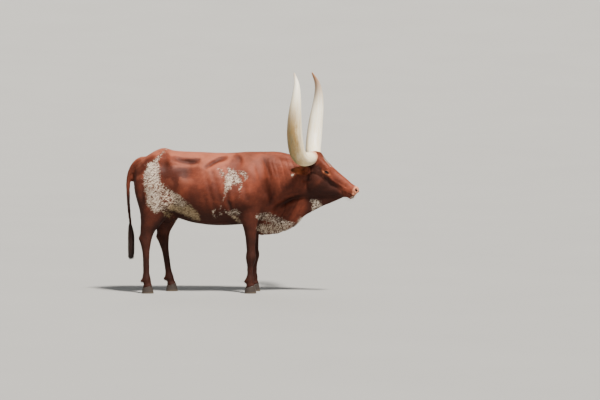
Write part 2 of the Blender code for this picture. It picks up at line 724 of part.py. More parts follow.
def head_shapes():
    """The flesh of the head, as loose closed shapes in the unturned frame."""
    ribs = []
    for rib in HEAD:
        top = from_head(rib.top[0], 0.0, rib.top[1])
        bottom = from_head(rib.bottom[0], 0.0, rib.bottom[1])
        ribs.append(rib._replace(top=(top.x, top.z), bottom=(bottom.x, bottom.z)))
    shapes = [rib_loft("head", ribs, segments=36), rib_loft("jaw", JAW)]
    turn = Matrix.Rotation(FACE_SLOPE, 4, "Y")
    for swell in HEAD_SWELLS:
        for side in (RIGHT, LEFT):
            centre = from_head(swell.centre[0], side * swell.centre[1], swell.centre[2])
            shapes.append(ellipsoid("swell", centre, swell.radii, turn))
    lid = EYE_RADIUS + LID_THICKNESS
    for side in (RIGHT, LEFT):
        centre = eye_place(side) - Vector((0.0, side * LID_SET_BACK, 0.0))
        shapes.append(ellipsoid("lids", centre, (lid, lid, lid)))
    for side in (RIGHT, LEFT):
        root, axis, _, _ = ear_frame(side)
        ends = [root - axis * 0.03, root, root + axis * 0.05]
        shapes.append(swept_tube("ear root", ends, [0.030, 0.028, EAR_BASE], steps=1))
    return shapes


def neck_shapes():
    """The flesh of the neck and dewlap, as loose closed shapes in the unturned frame."""
    dewlap = rib_loft("dewlap", DEWLAP, segments=20)
    return [rib_loft("neck", NECK), rib_loft("throat", THROAT), dewlap]


def eye_place(side):
    """The middle of one eye, in the unturned frame."""
    return from_head(EYE_PLACE[0], side * EYE_PLACE[1], EYE_PLACE[2])


def fleshy(points):
    """How far a point lies in the thick flesh of trunk and neck, from 0 to 1."""
    over_legs = np.clip((points[:, 2] - 0.60) / 0.12, 0.0, 1.0)
    behind_head = np.clip((0.46 - points[:, 0]) / 0.12, 0.0, 1.0)
    off_dewlap = np.clip((points[:, 2] - 0.62 - 0.55 * (points[:, 0] - 0.10)) / 0.10, 0.0, 1.0)
    near_udder = (points[:, 0] < -0.55) & (np.abs(points[:, 1]) < 0.08) & (points[:, 2] < 0.74)
    off_dewlap = np.where(points[:, 0] < 0.10, 1.0, off_dewlap)
    return over_legs * behind_head * off_dewlap * np.where(near_udder, 0.0, 1.0)


def whole_body():
    """The flesh of trunk, neck, legs and udder as one closed surface, with the head's for its fit."""
    shapes = [rib_loft("trunk", TRUNK, segments=36)]
    shapes += both_sides([UDDER, *TEATS])
    shapes += [turn_object(shape) for shape in neck_shapes() + head_shapes()]
    for side in (RIGHT, LEFT):
        shapes += leg(FORELEG, LEG_SWELLS["fore"], side, FORE_STEP[side])
        shapes += leg(HINDLEG, LEG_SWELLS["hind"], side, HIND_STEP[side])
    body = fused("torso", shapes, BODY_VOXEL)
    relaxed(body, 8)
    relaxed(body, 45, push=0.0, share=fleshy)
    embossed(body, BODY_RELIEF.values())
    relaxed(body, 4)
    head_plane = [(turned([HEAD_CUT_POINT])[0], turned_way(HEAD_CUT_WAY))]
    boolean(body, region(head_plane), "INTERSECT", "MANIFOLD")
    return thinned(largest_only(body), BODY_TRIANGLES)


def turned_way(way):
    """A direction of the unturned head, after its turn."""
    return Matrix.Rotation(-HEAD_TURN, 3, "Z") @ Vector(way)


def whole_head():
    """The flesh of the head as one closed surface in the unturned frame, finer than the body."""
    head = fused("head", neck_shapes() + head_shapes(), HEAD_VOXEL)
    relaxed(head, 14)
    embossed(head, BODY_RELIEF.values())
    embossed(head, HEAD_RELIEF.values(), from_head(0.0, 0.0, 0.0), FACE_SLOPE)
    relaxed(head, 3)
    plane = [(HEAD_CUT_POINT + HEAD_CUT_WAY * GAP, -HEAD_CUT_WAY)]
    boolean(head, region(plane), "INTERSECT", "MANIFOLD")
    return thinned(largest_only(head), HEAD_TRIANGLES)


def lid_cutter(side):
    """The almond-shaped opening between one eye's lids, as a prism that opens outwards."""
    along = Vector((math.cos(LID_SLOPE), 0.0, -math.sin(LID_SLOPE)))
    out = Vector((0.14, side, 0.10)).normalized()
    up = (out.cross(along) * side).normalized()
    around = np.linspace(0.0, 2.0 * math.pi, 14, endpoint=False)
    rings = []
    for depth, wider in ((0.004, 0.9), (EYE_RADIUS, 1.0), (EYE_RADIUS + 0.030, 1.3)):
        reach = LID_OPENING[0] * wider * np.cos(around)
        rise = LID_OPENING[1] * wider * np.sin(around) * np.abs(np.sin(around)) ** 0.35
        centre = np.array(eye_place(side) + out * depth)
        rings.append(centre + reach[:, None] * np.array(along) + rise[:, None] * np.array(up))
    return closed_tube("lid opening", rings)


def surface_hit(tree, start, way):
    """Where a ray first meets a surface."""
    return tree.ray_cast(Vector(start), Vector(way).normalized())[0]


def tree_of(made):
    """A search tree of an object's faces."""
    places = [vertex.co for vertex in made.data.vertices]
    return BVHTree.FromPolygons(places, [face.vertices for face in made.data.polygons])


def nostril_cutter(tree, side):
    """One nostril as a slanted pit in the muzzle."""
    start = from_head(NOSTRIL_PLACE[0] + 0.05, side * NOSTRIL_PLACE[1], NOSTRIL_PLACE[2] + 0.02)
    target = from_head(NOSTRIL_PLACE[0] - 0.015, side * 0.020, NOSTRIL_PLACE[2] - 0.004)
    place = surface_hit(tree, start, target - start)
    outwards = Matrix.Rotation(side * math.radians(-38.0), 4, "Z")
    turn = outwards @ Matrix.Rotation(math.radians(-12.0), 4, "Y")
    return ellipsoid("nostril", place, NOSTRIL_SIZE, turn, fineness=2)


def mouth_cutter(tree):
    """The line of the mouth: a thin band round the muzzle, sunk from its surface."""
    front = from_head(MOUTH_FRONT[0], 0.0, MOUTH_FRONT[1])
    corner = from_head(MOUTH_CORNER[0], 0.0, MOUTH_CORNER[1])
    ahead = (front - corner).normalized()
    across = Vector((0.0, 1.0, 0.0))
    thick = ahead.cross(across).normalized()
    rings = []
    for angle in np.radians(np.linspace(-88.0, 88.0, 13)):
        way = ahead * math.cos(angle) + across * math.sin(angle)
        place = surface_hit(tree, corner + way * 0.30, -way)
        inner, outer = place - way * MOUTH_DEPTH, place + way * MOUTH_DEPTH
        rings.append(
            [tuple(inner), tuple(place - thick * MOUTH_GAP), tuple(outer - thick * 3.0 * MOUTH_GAP),
             tuple(outer + thick * 3.0 * MOUTH_GAP), tuple(place + thick * MOUTH_GAP)]
        )
    return closed_tube("mouth", rings)


def ear_frame(side):
    """The root of one ear and its axis, opening and width directions, in the unturned frame."""
    axis = Vector((EAR_AXIS.x, side * EAR_AXIS.y, EAR_AXIS.z))
    opening = Vector((EAR_OPENING.x, side * EAR_OPENING.y, EAR_OPENING.z))
    opening = (opening - axis * opening.dot(axis)).normalized()
    root = from_head(EAR_ROOT[0], side * EAR_ROOT[1], EAR_ROOT[2])
    return root, axis, opening, axis.cross(opening)


def ear_section(share):
    """An ear's section at a share of its length: points across its width and out of its cup.

    The root is a solid disc. Further out the disc opens into a rolled wall, which widens to a
    shallow leaf and narrows to the tip.
    """
    spread = math.sin(math.pi * share**0.85) ** 0.8 * (1.0 - 0.28 * share)
    half = EAR_BASE + (EAR_WIDTH * 0.6 - EAR_BASE) * spread
    half *= math.sqrt(max(1.0 - share**5, 0.003))
    roll = math.radians(150.0 - 90.0 * min(share / 0.5, 1.0) - 22.0 * share)
    radius = half / math.sin(min(roll, math.pi / 2.0))
    opened = min(max((share - 0.10) / 0.14, 0.0), 1.0)
    outer = np.linspace(-roll, roll, 9)
    section = [(radius * math.sin(a), -radius * math.cos(a)) for a in outer]
    closing = np.linspace(roll, 2.0 * math.pi - roll, 9)[1:-1]
    for rim, a in zip(closing, outer[::-1][1:-1]):
        thick = EAR_WALL * min(0.35 + 0.8 * math.cos(a / roll * math.pi / 2.0), 1.0)
        inner = max(radius - thick, 0.3 * radius)
        across = (1.0 - opened) * radius * math.sin(rim) + opened * inner * math.sin(a)
        out = -(1.0 - opened) * radius * math.cos(rim) - opened * inner * math.cos(a)
        section.append((across, out))
    return np.array(section) + (0.0, radius - EAR_BASE - 0.016 * share**2)


def ear(name, side):
    """One ear: a leaf that is rolled into a cup, solid at its root and open towards its tip."""
    root, axis, opening, width = ear_frame(side)
    root = root + axis * (EAR_SEAT + GAP)
    rings = []
    for share in (0.0, 0.10, 0.17, 0.25, 0.35, 0.46, 0.58, 0.70, 0.81, 0.90, 0.96, 1.0):
        centre = np.array(root + axis * (EAR_LENGTH * share))
        section = ear_section(share)
        rings.append(centre + section[:, :1] * np.array(width) + section[:, 1:] * np.array(opening))
    return closed_tube(name, rings)


def ear_seat_cutter(side):
    """A short cylinder that cuts the head's ear root flat, square to the ear's axis."""
    root, axis, _, _ = ear_frame(side)
    ends = [root + axis * (EAR_SEAT + reach) for reach in (0.0, 0.03, 0.06)]
    return swept_tube("ear seat", ends, [0.045] * 3, segments=20, steps=1)


def horn(side, name, extra=0.0, count=None):
    """One horn, or the first few points of it widened as its socket."""
    points = HORN[:count]
    path = [(p.x, side * p.side, p.z) for p in points]
    return swept_tube(name, path, [p.radius for p in points], segments=16, steps=2, extra=extra)


def head_nodes():
    """The head with its ears, eyes and horns, built unturned and then turned."""
    head = whole_head()
    tree = tree_of(head)
    for side in (RIGHT, LEFT):
        boolean(head, lid_cutter(side), "DIFFERENCE")
        socket = ellipsoid("socket", eye_place(side), (EYE_RADIUS + GAP,) * 3)
        boolean(head, socket, "DIFFERENCE")
        boolean(head, nostril_cutter(tree, side), "DIFFERENCE")
    boolean(head, mouth_cutter(tree), "DIFFERENCE")
    nodes = [head]
    for side in (RIGHT, LEFT):
        ending = {RIGHT: "right", LEFT: "left"}[side]
        boolean(head, ear_seat_cutter(side), "DIFFERENCE")
        nodes.append(ear("ear_" + ending, side))
        boolean(head, horn(side, "horn socket", GAP, 4), "DIFFERENCE")
        nodes.append(horn(side, "horn_" + ending))
        nodes.append(ellipsoid("eye_" + ending, eye_place(side), (EYE_RADIUS,) * 3))
    largest_only(head)
    return [turn_object(node) for node in nodes]


def claw(name, foot, inner_side):
    """One claw with a flat sole on the floor. inner_side is 1 or -1 for the two of a foot."""
    outline = []
    for angle in np.linspace(0.0, math.pi, 9):
        bulge = math.sin(angle) ** 0.75 * (1.0 - 0.18 * math.cos(angle))
        outline.append((math.cos(angle), bulge))
    outline += [(-0.55, -0.02), (-0.1, 0.0), (0.4, 0.0), (0.75, 0.04)]
    rings = []
    for share, shrink in ((0.0, 0.97), (0.08, 1.0), (0.5, 0.95), (1.0, 0.88)):
        ring = []
        for ahead, out in outline:
            lean = 0.24 if ahead > 0.0 else 0.06
            x = CLAW_LENGTH / 2.0 * ahead * (1.0 - lean * share)
            y = CLEFT / 2.0 + CLAW_WIDTH * out * shrink
            top = coronet_height(x)
            ring.append((foot.x + x, foot.y + inner_side * y, top * share))
        rings.append(ring)
    return closed_tube(name, rings)


def coronet_height(x):
    """The height of a claw's upper edge, x in front of the middle of the foot."""
    share = (x + CLAW_LENGTH / 2.0) / CLAW_LENGTH
    return CORONET_HEEL + (CORONET_FRONT - CORONET_HEEL) * share


def leg_planes(pair, side):
    """The planes that part a leg from the trunk."""
    y = side
    if pair == "fore":
        return [
            ((0.0, y * 0.07, 0.60), (0.0, -1.1 * y, 1.0)),
            ((-0.10, 0.0, 0.0), (-1.0, 0.0, 0.0)),
            ((0.215, 0.0, 0.0), (1.0, 0.0, 0.0)),
            ((0.0, y * 0.020, 0.0), (0.0, -y, 0.0)),
        ]
    return [
        ((0.0, y * 0.03, 0.72), (0.0, -1.3 * y, 1.0)),
        ((-0.23, 0.0, 0.0), (0.28, 0.0, 0.14)),
        ((0.0, y * 0.012, 0.0), (0.0, -y, 0.0)),
    ]


def body_nodes():
    """The torso, neck, udder, legs and claws."""
    body = whole_body()
    udder = [
        ((-0.59, 0.0, 0.682), (0.17, 0.0, 1.0)),
        ((-0.588, 0.0, 0.0), (1.0, 0.0, 0.0)),
        ((0.0, 0.078, 0.0), (0.0, 1.0, 0.0)),
        ((0.0, -0.078, 0.0), (0.0, -1.0, 0.0)),
    ]
    nodes = [body, parted(body, "udder", udder)]
    for side in (RIGHT, LEFT):
        ending = {RIGHT: "right", LEFT: "left"}[side]
        for pair, ribs, steps in (("fore", FORELEG, FORE_STEP), ("hind", HINDLEG, HIND_STEP)):
            foot = foot_place(ribs, side, steps)
            limb = parted(body, pair + "leg_" + ending, leg_planes(pair, side))
            slope = (CORONET_FRONT - CORONET_HEEL) / CLAW_LENGTH
            middle = foot + Vector((0.0, 0.0, coronet_height(0.0) + GAP))
            boolean(limb, region([(middle, (-slope, 0.0, 1.0))]), "DIFFERENCE")
            nodes.append(largest_only(limb))
            for place, inner_side in (("inner", -side), ("outer", side)):
                nodes.append(claw(f"claw_{pair}_{ending}_{place}", foot, inner_side))
    neck = parted(body, "neck", [((0.2023, 0.0, 1.30), (-0.61, 0.0, -0.14))])
    for side in (RIGHT, LEFT):
        boolean(neck, turn_object(horn(side, "horn socket", GAP, 4)), "DIFFERENCE")
    nodes.append(largest_only(neck))
    return nodes, body


def lock(number, draw):
    """One flat, tapered lock of the switch, rooted in the core and bent along the tail's fall."""
    turn = 2.0 * math.pi * (number * 0.382 + draw.uniform(-0.03, 0.03))
    start = 0.592 - 0.085 * (number / SWITCH_LOCKS)
    end = SWITCH_TIP_Z + (0.0 if number == 0 else draw.uniform(0.004, 0.075))
    spread = draw.uniform(0.026, 0.038)
    tip = draw.uniform(0.006, 0.030)
    twist = draw.uniform(-0.5, 0.5)
    rings = []
    for share in (0.0, 0.22, 0.5, 0.8, 1.0):
        z = start + (end - start) * share
        middle = np.array([SWITCH_CORE[-1].x, 0.0, z])
        rise = 0.006 + (spread - 0.006) * math.sin(math.pi * min(share * 0.95, 1.0)) ** 0.8
        reach = rise * (1.0 - share) + share * (tip + (rise - tip) * (1.0 - share))
        angle = turn + twist * share
        out = np.array([math.cos(angle), math.sin(angle), 0.0])
        side = np.array([-out[1], out[0], 0.0])
        taper = (0.55 + 1.1 * share) * (1.0 - share**1.6) ** 0.8 + 0.05
        wide, thick = LOCK_WIDTH * taper, LOCK_THICKNESS * taper
        centre = middle + out * reach
        rings.append(
            [centre + side * wide * math.cos(a) + out * thick * math.sin(a)
             for a in np.linspace(0.0, 2.0 * math.pi, 5, endpoint=False)]
        )
    return closed_tube("lock", rings)


def tail_switch():
    """The tuft at the tail's end: a core half way down, fused with flat locks out to the tips."""
    path = [(p.x, 0.0, p.z) for p in SWITCH_CORE]
    core = swept_tube("core", path, [p.radius for p in SWITCH_CORE], 8, 2)
    draw = np.random.default_rng(11)
    locks = [lock(number, draw) for number in range(SWITCH_LOCKS)]
    return united("tail_switch", [core, *locks])


def tail_nodes(torso):
    """The tail and its switch, with the tail's root let into the torso."""
    path = [(p.x, 0.0, p.z) for p in TAIL]
    radii = [p.radius for p in TAIL]
    boolean(torso, swept_tube("tail socket", path, radii, 12, 2, GAP), "DIFFERENCE")
    largest_only(torso)
    return [swept_tube("tail", path, radii, 12, 2), tail_switch()]


def finish_of(name, colour, roughness):
    """A plain material."""
    made = bpy.data.materials.new(name)
    made.use_nodes = True
    shader = made.node_tree.nodes["Principled BSDF"]
    shader.inputs["Base Color"].default_value = (*colour, 1.0)
    shader.inputs["Roughness"].default_value = roughness
    shader.inputs["Metallic"].default_value = 0.0
    return made


FINISHES = {
    "horn": ("horn", (0.80, 0.72, 0.52), 0.45),
    "claw": ("claw", (0.07, 0.05, 0.04), 0.55),
    "eye": ("eye", (0.03, 0.015, 0.01), 0.08),
    "tail_switch": ("switch hair", (0.06, 0.03, 0.02), 0.75),
    "": ("hide", (0.21, 0.06, 0.03), 0.70),
}


def dress(nodes):
    """Gives each node its material and puts them all in one collection."""
    materials = {start: finish_of(*values) for start, values in FINISHES.items()}
    kept = bpy.data.collections.new("Ankole-Watusi cow")
    bpy.context.scene.collection.children.link(kept)
    for node in nodes:
        start = next(start for start in FINISHES if node.name.startswith(start))
        node.data.materials.clear()
        node.data.materials.append(materials[start])
        bpy.context.scene.collection.objects.unlink(node)
        kept.objects.link(node)


def stand_on_origin(nodes):
    """Moves the cow so that the origin is under the middle of its bounding box."""
    points = np.vstack([points_of(node.data) for node in nodes])
    middle = (points.min(0) + points.max(0)) / 2.0
    for node in nodes:
        move_points(node.data, points_of(node.data) - (middle[0], middle[1], 0.0))


def main():
    """Builds every node of the cow."""
    clear_scene()
    nodes, torso = body_nodes()
    nodes += tail_nodes(torso)
    nodes += head_nodes()
    stand_on_origin(nodes)
    dress(nodes)


main()
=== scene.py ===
"""The looks of a life-size model of an Ankole-Watusi cow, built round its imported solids.

The cow faces +X, its right side faces -Y and +Z is up, in metres. One skin replaces the solids
of flesh: it is made from copies of them, inflated until they overlap, remeshed into one surface
that is finer at the head, smoothed, drawn in by the coat's depth and then sculpted. Short tufts
of hair lie over it. Horns, eyes, claws and the tail's switch are pieces of their own.
"""

import logging
import math
from dataclasses import dataclass
from enum import Enum

import bmesh
import bpy
import numpy as np
from bpy.types import Material, Mesh, Node, NodeSocket, Object
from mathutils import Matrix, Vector


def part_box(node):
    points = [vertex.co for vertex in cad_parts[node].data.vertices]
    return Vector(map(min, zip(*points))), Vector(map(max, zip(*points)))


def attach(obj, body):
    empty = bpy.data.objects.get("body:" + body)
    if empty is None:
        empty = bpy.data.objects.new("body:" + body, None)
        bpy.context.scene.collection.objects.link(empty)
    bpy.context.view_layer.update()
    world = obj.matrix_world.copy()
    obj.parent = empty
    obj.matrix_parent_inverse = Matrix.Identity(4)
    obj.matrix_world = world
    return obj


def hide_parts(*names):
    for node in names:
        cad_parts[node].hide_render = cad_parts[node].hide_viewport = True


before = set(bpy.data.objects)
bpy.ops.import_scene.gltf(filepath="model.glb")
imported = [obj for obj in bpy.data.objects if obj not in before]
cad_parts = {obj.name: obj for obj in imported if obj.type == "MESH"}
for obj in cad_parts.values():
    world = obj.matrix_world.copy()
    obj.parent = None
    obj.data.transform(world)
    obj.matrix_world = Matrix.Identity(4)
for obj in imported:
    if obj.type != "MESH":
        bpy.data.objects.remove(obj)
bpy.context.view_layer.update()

Array = np.ndarray
LOG = logging.getLogger("cow")
BODY = "root"
PICTURE_WIDTH = 600
TURN = 2.0 * math.pi
DOWN = np.array([0.0, 0.0, -1.0])


class Side(Enum):
    """A side of the cow, as the sign of its own left-hand axis."""

    RIGHT = -1
    LEFT = 1
    BOTH = 0


class Pair(Enum):
    """Which legs a foot belongs to."""

    FORE = "fore"
    HIND = "hind"


class Claw(Enum):
    """Which claw of a foot."""

    INNER = "inner"
    OUTER = "outer"


class Lie(Enum):
    """How a piece of hair is laid on the skin."""

    FLAT = "flat"
    HANGING = "hanging"


# ---------------------------------------------------------------- arrays and meshes


def unit(ways: Array) -> Array:
    """Directions, with x, y and z on the last axis, scaled to length 1."""
    ways = np.asarray(ways, float)
    return ways / np.maximum(np.linalg.norm(ways, axis=-1, keepdims=True), 1e-12)


def step(values: Array, low: float, high: float) -> Array:
    """Goes smoothly from 0 at low to 1 at high, by 3t^2 - 2t^3, also where high is below low."""
    t = np.clip((np.asarray(values, float) - low) / (high - low), 0.0, 1.0)
    return t * t * (3.0 - 2.0 * t)


def band(values: Array, low: float, full: float, fade: float, high: float) -> Array:
    """Rises smoothly from 0 at low to 1 at full, and falls again from fade to 0 at high."""
    return step(values, low, full) * step(values, high, fade)


def bell(values: Array, middle: float, width: float) -> Array:
    """1 at the middle, falling off on both sides as exp(-d^2), with d counted in widths."""
    return np.exp(-(((values - middle) / width) ** 2))


def turns(count: int) -> Array:
    """Angles spaced evenly round a full turn."""
    return np.linspace(0.0, TURN, count, endpoint=False)


def eased(rows: Array, steps: int) -> Array:
    """Rows filled in on Catmull-Rom curves, each a cubic through four neighbouring rows.

    Args:
        rows: the rows that the curve passes through.
        steps: how many rows each gap becomes.

    Returns:
        The longer list of rows.
    """
    rows = np.asarray(rows, float)
    ends = np.vstack([2 * rows[0] - rows[1], rows, 2 * rows[-1] - rows[-2]])
    a, b, c, d = (ends[k : len(ends) - 3 + k, None] for k in range(4))
    t = np.linspace(0.0, 1.0, steps, endpoint=False)[None, :, None]
    cubic = b + 0.5 * (c - a) * t + (a - 2.5 * b + 2 * c - 0.5 * d) * t**2
    cubic = cubic + 0.5 * (3 * b - a - 3 * c + d) * t**3
    return np.vstack([cubic.reshape(-1, rows.shape[1]), rows[-1:]])


def ripples(points: Array, size: float, seed: int, octaves: int = 3) -> Array:
    """A soft random height at each point: a sum of sine waves in random directions.

    Each octave has six waves, half as long and half as high as the last octave's.

    Args:
        points: places, shaped (n, 3).
        size: the length of the longest waves in metres.
        seed: sets the random directions.
        octaves: how many sizes of wave are added.

    Returns:
        A height near -1 to 1 for each place.
    """
    draw = np.random.default_rng(seed)
    total = np.zeros(len(points))
    for octave in range(octaves):
        ways = unit(draw.normal(size=(6, 3)))
        ways *= TURN * 2.0**octave / size * draw.uniform(0.7, 1.3, (6, 1))
        starts = draw.uniform(0.0, TURN, 6)
        total += np.sin(points @ ways.T + starts).sum(1) / 3.5 / 2.0**octave
    return total / 1.4


def path_distance(places: Array, path: tuple) -> tuple[Array, Array]:
    """How far places lie from a line of straight stretches in a plane.

    Args:
        places: places in the plane, shaped (n, 2).
        path: the line's points in order.

    Returns:
        The distance to the nearest point of the line, and that point's share of its length.
    """
    points = np.asarray(path, float)
    lengths = np.linalg.norm(np.diff(points, axis=0), axis=1)
    starts = np.concatenate([[0.0], np.cumsum(lengths)])
    best = np.full(len(places), 1e9)
    share = np.zeros(len(places))
    for a, b, length, start in zip(points, points[1:], lengths, starts):
        t = np.clip(((places - a) @ (b - a)) / max(length**2, 1e-12), 0.0, 1.0)
        away = np.linalg.norm(places - a - t[:, None] * (b - a), axis=1)
        nearer = away < best
        best = np.where(nearer, away, best)
        share = np.where(nearer, (start + t * length) / starts[-1], share)
    return best, share


def shown(made: Object) -> Object:
    """Puts an object in the scene and hands it back."""
    bpy.context.scene.collection.objects.link(made)
    return made


def mesh_piece(name: str, points: Array, *groups: Array) -> Object:
    """A new smooth-shaded object from arrays of points and faces.

    Args:
        name: the object's name.
        points: its points, shaped (n, 3).
        groups: arrays of faces, one for each number of corners.

    Returns:
        The object, at the origin.
    """
    sizes = np.concatenate([np.full(len(group), group.shape[1]) for group in groups])
    corners = np.concatenate([group.ravel() for group in groups]).astype(np.int32)
    starts = np.concatenate([[0], np.cumsum(sizes)[:-1]]).astype(np.int32)
    mesh = bpy.data.meshes.new(name)
    mesh.vertices.add(len(points))
    mesh.vertices.foreach_set("co", np.asarray(points, np.float32).ravel())
    mesh.loops.add(len(corners))
    mesh.loops.foreach_set("vertex_index", corners)
    mesh.polygons.add(len(starts))
    mesh.polygons.foreach_set("loop_start", starts)
    mesh.update(calc_edges=True)
    mesh.shade_smooth()
    return shown(bpy.data.objects.new(name, mesh))


def ring_quads(rings: int, corners: int, closed: bool = False) -> Array:
    """The four-cornered faces between rings of points, which run ring by ring.

    Args:
        rings: how many rings there are.
        corners: how many points each ring has.
        closed: whether the last ring joins the first.

    Returns:
        The faces.
    """
    ring, corner = np.meshgrid(
        np.arange(rings if closed else rings - 1), np.arange(corners), indexing="ij"
    )
    here, there = ring * corners, (ring + 1) % rings * corners
    after = (corner + 1) % corners
    faces = np.stack([here + corner, here + after, there + after, there + corner], axis=-1)
    return faces.reshape(-1, 4)


def tube_faces(tubes: int, rings: int, corners: int) -> tuple[Array, Array]:
    """The faces of many alike closed tubes, whose points run tube by tube and ring by ring.

    Each tube has rings * corners points and then a point at its root and one at its tip.

    Args:
        tubes: how many tubes there are.
        rings: how many rings each has.
        corners: how many points each ring has.

    Returns:
        The four-cornered faces along the tubes, and the three-cornered ones at their ends.
    """
    corner, after = np.arange(corners), (np.arange(corners) + 1) % corners
    size = rings * corners
    last = size - corners
    root = np.stack([np.full(corners, size), after, corner], axis=-1)
    tip = np.stack([np.full(corners, size + 1), last + corner, last + after], axis=-1)
    firsts = (np.arange(tubes) * (size + 2))[:, None, None]
    quads, ends = ring_quads(rings, corners) + firsts, np.vstack([root, tip]) + firsts
    return quads.reshape(-1, 4), ends.reshape(-1, 3)


def tube_piece(name: str, rings: Array) -> Object:
    """One closed tube over rings of points, with its faces turned outwards.

    Args:
        name: the object's name.
        rings: the points, shaped (rings, corners, 3).

    Returns:
        The object.
    """
    rings = np.asarray(rings, float)
    points = np.vstack([rings.reshape(-1, 3), rings[0].mean(0), rings[-1].mean(0)])
    quads, ends = tube_faces(1, len(rings), rings.shape[1])
    inside = rings.reshape(-1, 3).mean(0)
    a, b, c = (points[quads[:, k]] - inside for k in range(3))
    if np.einsum("ij,ij->i", a, np.cross(b, c)).sum() < 0.0:
        quads, ends = quads[:, ::-1], ends[:, ::-1]
    return mesh_piece(name, points, quads, ends)


def rings_round(path: Array, reach: Array, turn: Array, across: Array, up: Array) -> Array:
    """Rings round a path, as its place + reach * (cos(turn) * across + sin(turn) * up)."""
    ways = np.cos(turn) * across[:, None] + np.sin(turn) * up[:, None]
    return path[:, None] + reach * ways


def frames_along(path: Array) -> tuple[Array, Array, Array]:
    """Directions along a curve and two across it that turn as little as they can.

    Args:
        path: the curve's points, shaped (n, 3).

    Returns:
        The direction along, and the two across, at each point.
    """
    ways = unit(np.gradient(path, axis=0))
    across = np.empty_like(ways)
    held = np.cross(ways[0], (0.31, 0.52, 0.79))
    for place, way in enumerate(ways):
        held = held - way * (held @ way)
        held = held / np.linalg.norm(held)
        across[place] = held
    return ways, across, np.cross(ways, across)


def read(items: object, key: str, width: int = 1, kind: type = np.float32) -> Array:
    """One property of every point, edge, face or corner of a mesh.

    Args:
        items: the mesh's list of them.
        key: the property's name.
        width: how many numbers it holds.
        kind: the numbers' type.

    Returns:
        The numbers, shaped (n,) where width is 1 and (n, width) otherwise.
    """
    values = np.empty(len(items) * width, kind)
    items.foreach_get(key, values)
    return values if width == 1 else values.reshape(-1, width)


def points_of(mesh: Mesh) -> Array:
    """A mesh's points, shaped (n, 3)."""
    return read(mesh.vertices, "co", 3).astype(float)


def move_points(mesh: Mesh, points: Array) -> None:
    """Puts an array of points back into a mesh."""
    mesh.vertices.foreach_set("co", np.asarray(points, np.float32).ravel())
    mesh.update()


def normals_of(mesh: Mesh) -> Array:
    """A mesh's normals at its points, shaped (n, 3)."""
    return read(mesh.vertex_normals, "vector", 3).astype(float)


def edges_of(mesh: Mesh) -> Array:
    """The two ends of each edge, shaped (n, 2)."""
    return read(mesh.edges, "vertices", 2, np.int32)


def set_values(mesh: Mesh, name: str, values: Array) -> None:
    """Stores a number or a direction for each point of a mesh under a name.

    Args:
        mesh: the mesh.
        name: the attribute's name.
        values: shaped (n,) for numbers or (n, 3) for directions.
    """
    kind, key = ("FLOAT", "value") if values.ndim == 1 else ("FLOAT_VECTOR", "vector")
    made = mesh.attributes.new(name, kind, "POINT")
    made.data.foreach_set(key, np.asarray(values, np.float32).ravel())


def laid(ways: Array, normals: Array) -> Array:
    """Directions laid flat on the skin, at length 1."""
    return unit(ways - normals * (ways * normals).sum(1, keepdims=True))


def box_of(node: str) -> Array:
    """A CAD node's lowest and highest corner, as two rows."""
    return np.array(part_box(node), float)


def centre_of(node: str) -> Array:
    """The middle of a CAD node's box."""
    return box_of(node).sum(0) / 2.0


# ---------------------------------------------------------------- the cow's own measures


@dataclass(frozen=True)
class HeadFrame:
    """The head's own axes: down the face, to the cow's left, and out from its forehead.

    The same sizes as the solids': the forehead's slope, the head's turn to the right about an
    upright line, and the poll. The cow's place is taken from the left eye's node.
    """

    poll: tuple[float, float, float] = (0.722, 0.0, 1.302)
    slope: float = math.radians(44.0)
    turn: float = math.radians(12.0)
    pivot_x: float = 0.29
    turn_from_x: float = 0.14
    turn_to_x: float = 0.44
    eye: tuple[float, float, float] = (0.187, 0.078, -0.08)

    def turned(self, points: Array) -> Array:
        """Applies the head's turn, which fades out down the neck.

        Args:
            points: places on the unturned cow.

        Returns:
            The turned places.
        """
        points = np.array(points, float)
        angle = self.turn * step(points[:, 0], self.turn_from_x, self.turn_to_x)
        x, y = points[:, 0] - self.pivot_x, points[:, 1].copy()
        points[:, 0] = self.pivot_x + x * np.cos(angle) + y * np.sin(angle)
        points[:, 1] = y * np.cos(angle) - x * np.sin(angle)
        return points

    def spin(self) -> Array:
        """The head's turn about an upright line, as a matrix."""
        c, s = math.cos(self.turn), math.sin(self.turn)
        return np.array([(c, s, 0.0), (-s, c, 0.0), (0.0, 0.0, 1.0)])

    def axes(self) -> Array:
        """Rows of the three axes: down the face, left, and out from the forehead."""
        c, s, down, out = (f(a) for a in (self.turn, self.slope) for f in (math.cos, math.sin))
        return np.array([(down * c, -down * s, -out), (s, c, 0.0), (out * c, -out * s, down)])

    def shift(self) -> Array:
        """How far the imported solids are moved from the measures, from the left eye's place."""
        place = self.turned([self.poll])[0] + np.array(self.eye) @ self.axes()
        return centre_of("eye_left") - place

    def origin(self) -> Array:
        """The poll in the shared frame."""
        return self.turned([self.poll])[0] + self.shift()

    def world(self, places: Array) -> Array:
        """Places of the head's own axes in the shared frame."""
        return self.origin() + np.atleast_2d(places) @ self.axes()

    def local(self, points: Array) -> Array:
        """Points of the shared frame in the head's own axes."""
        return (np.asarray(points, float) - self.origin()) @ self.axes().T


HEAD = HeadFrame()
SHIFT = HEAD.shift()


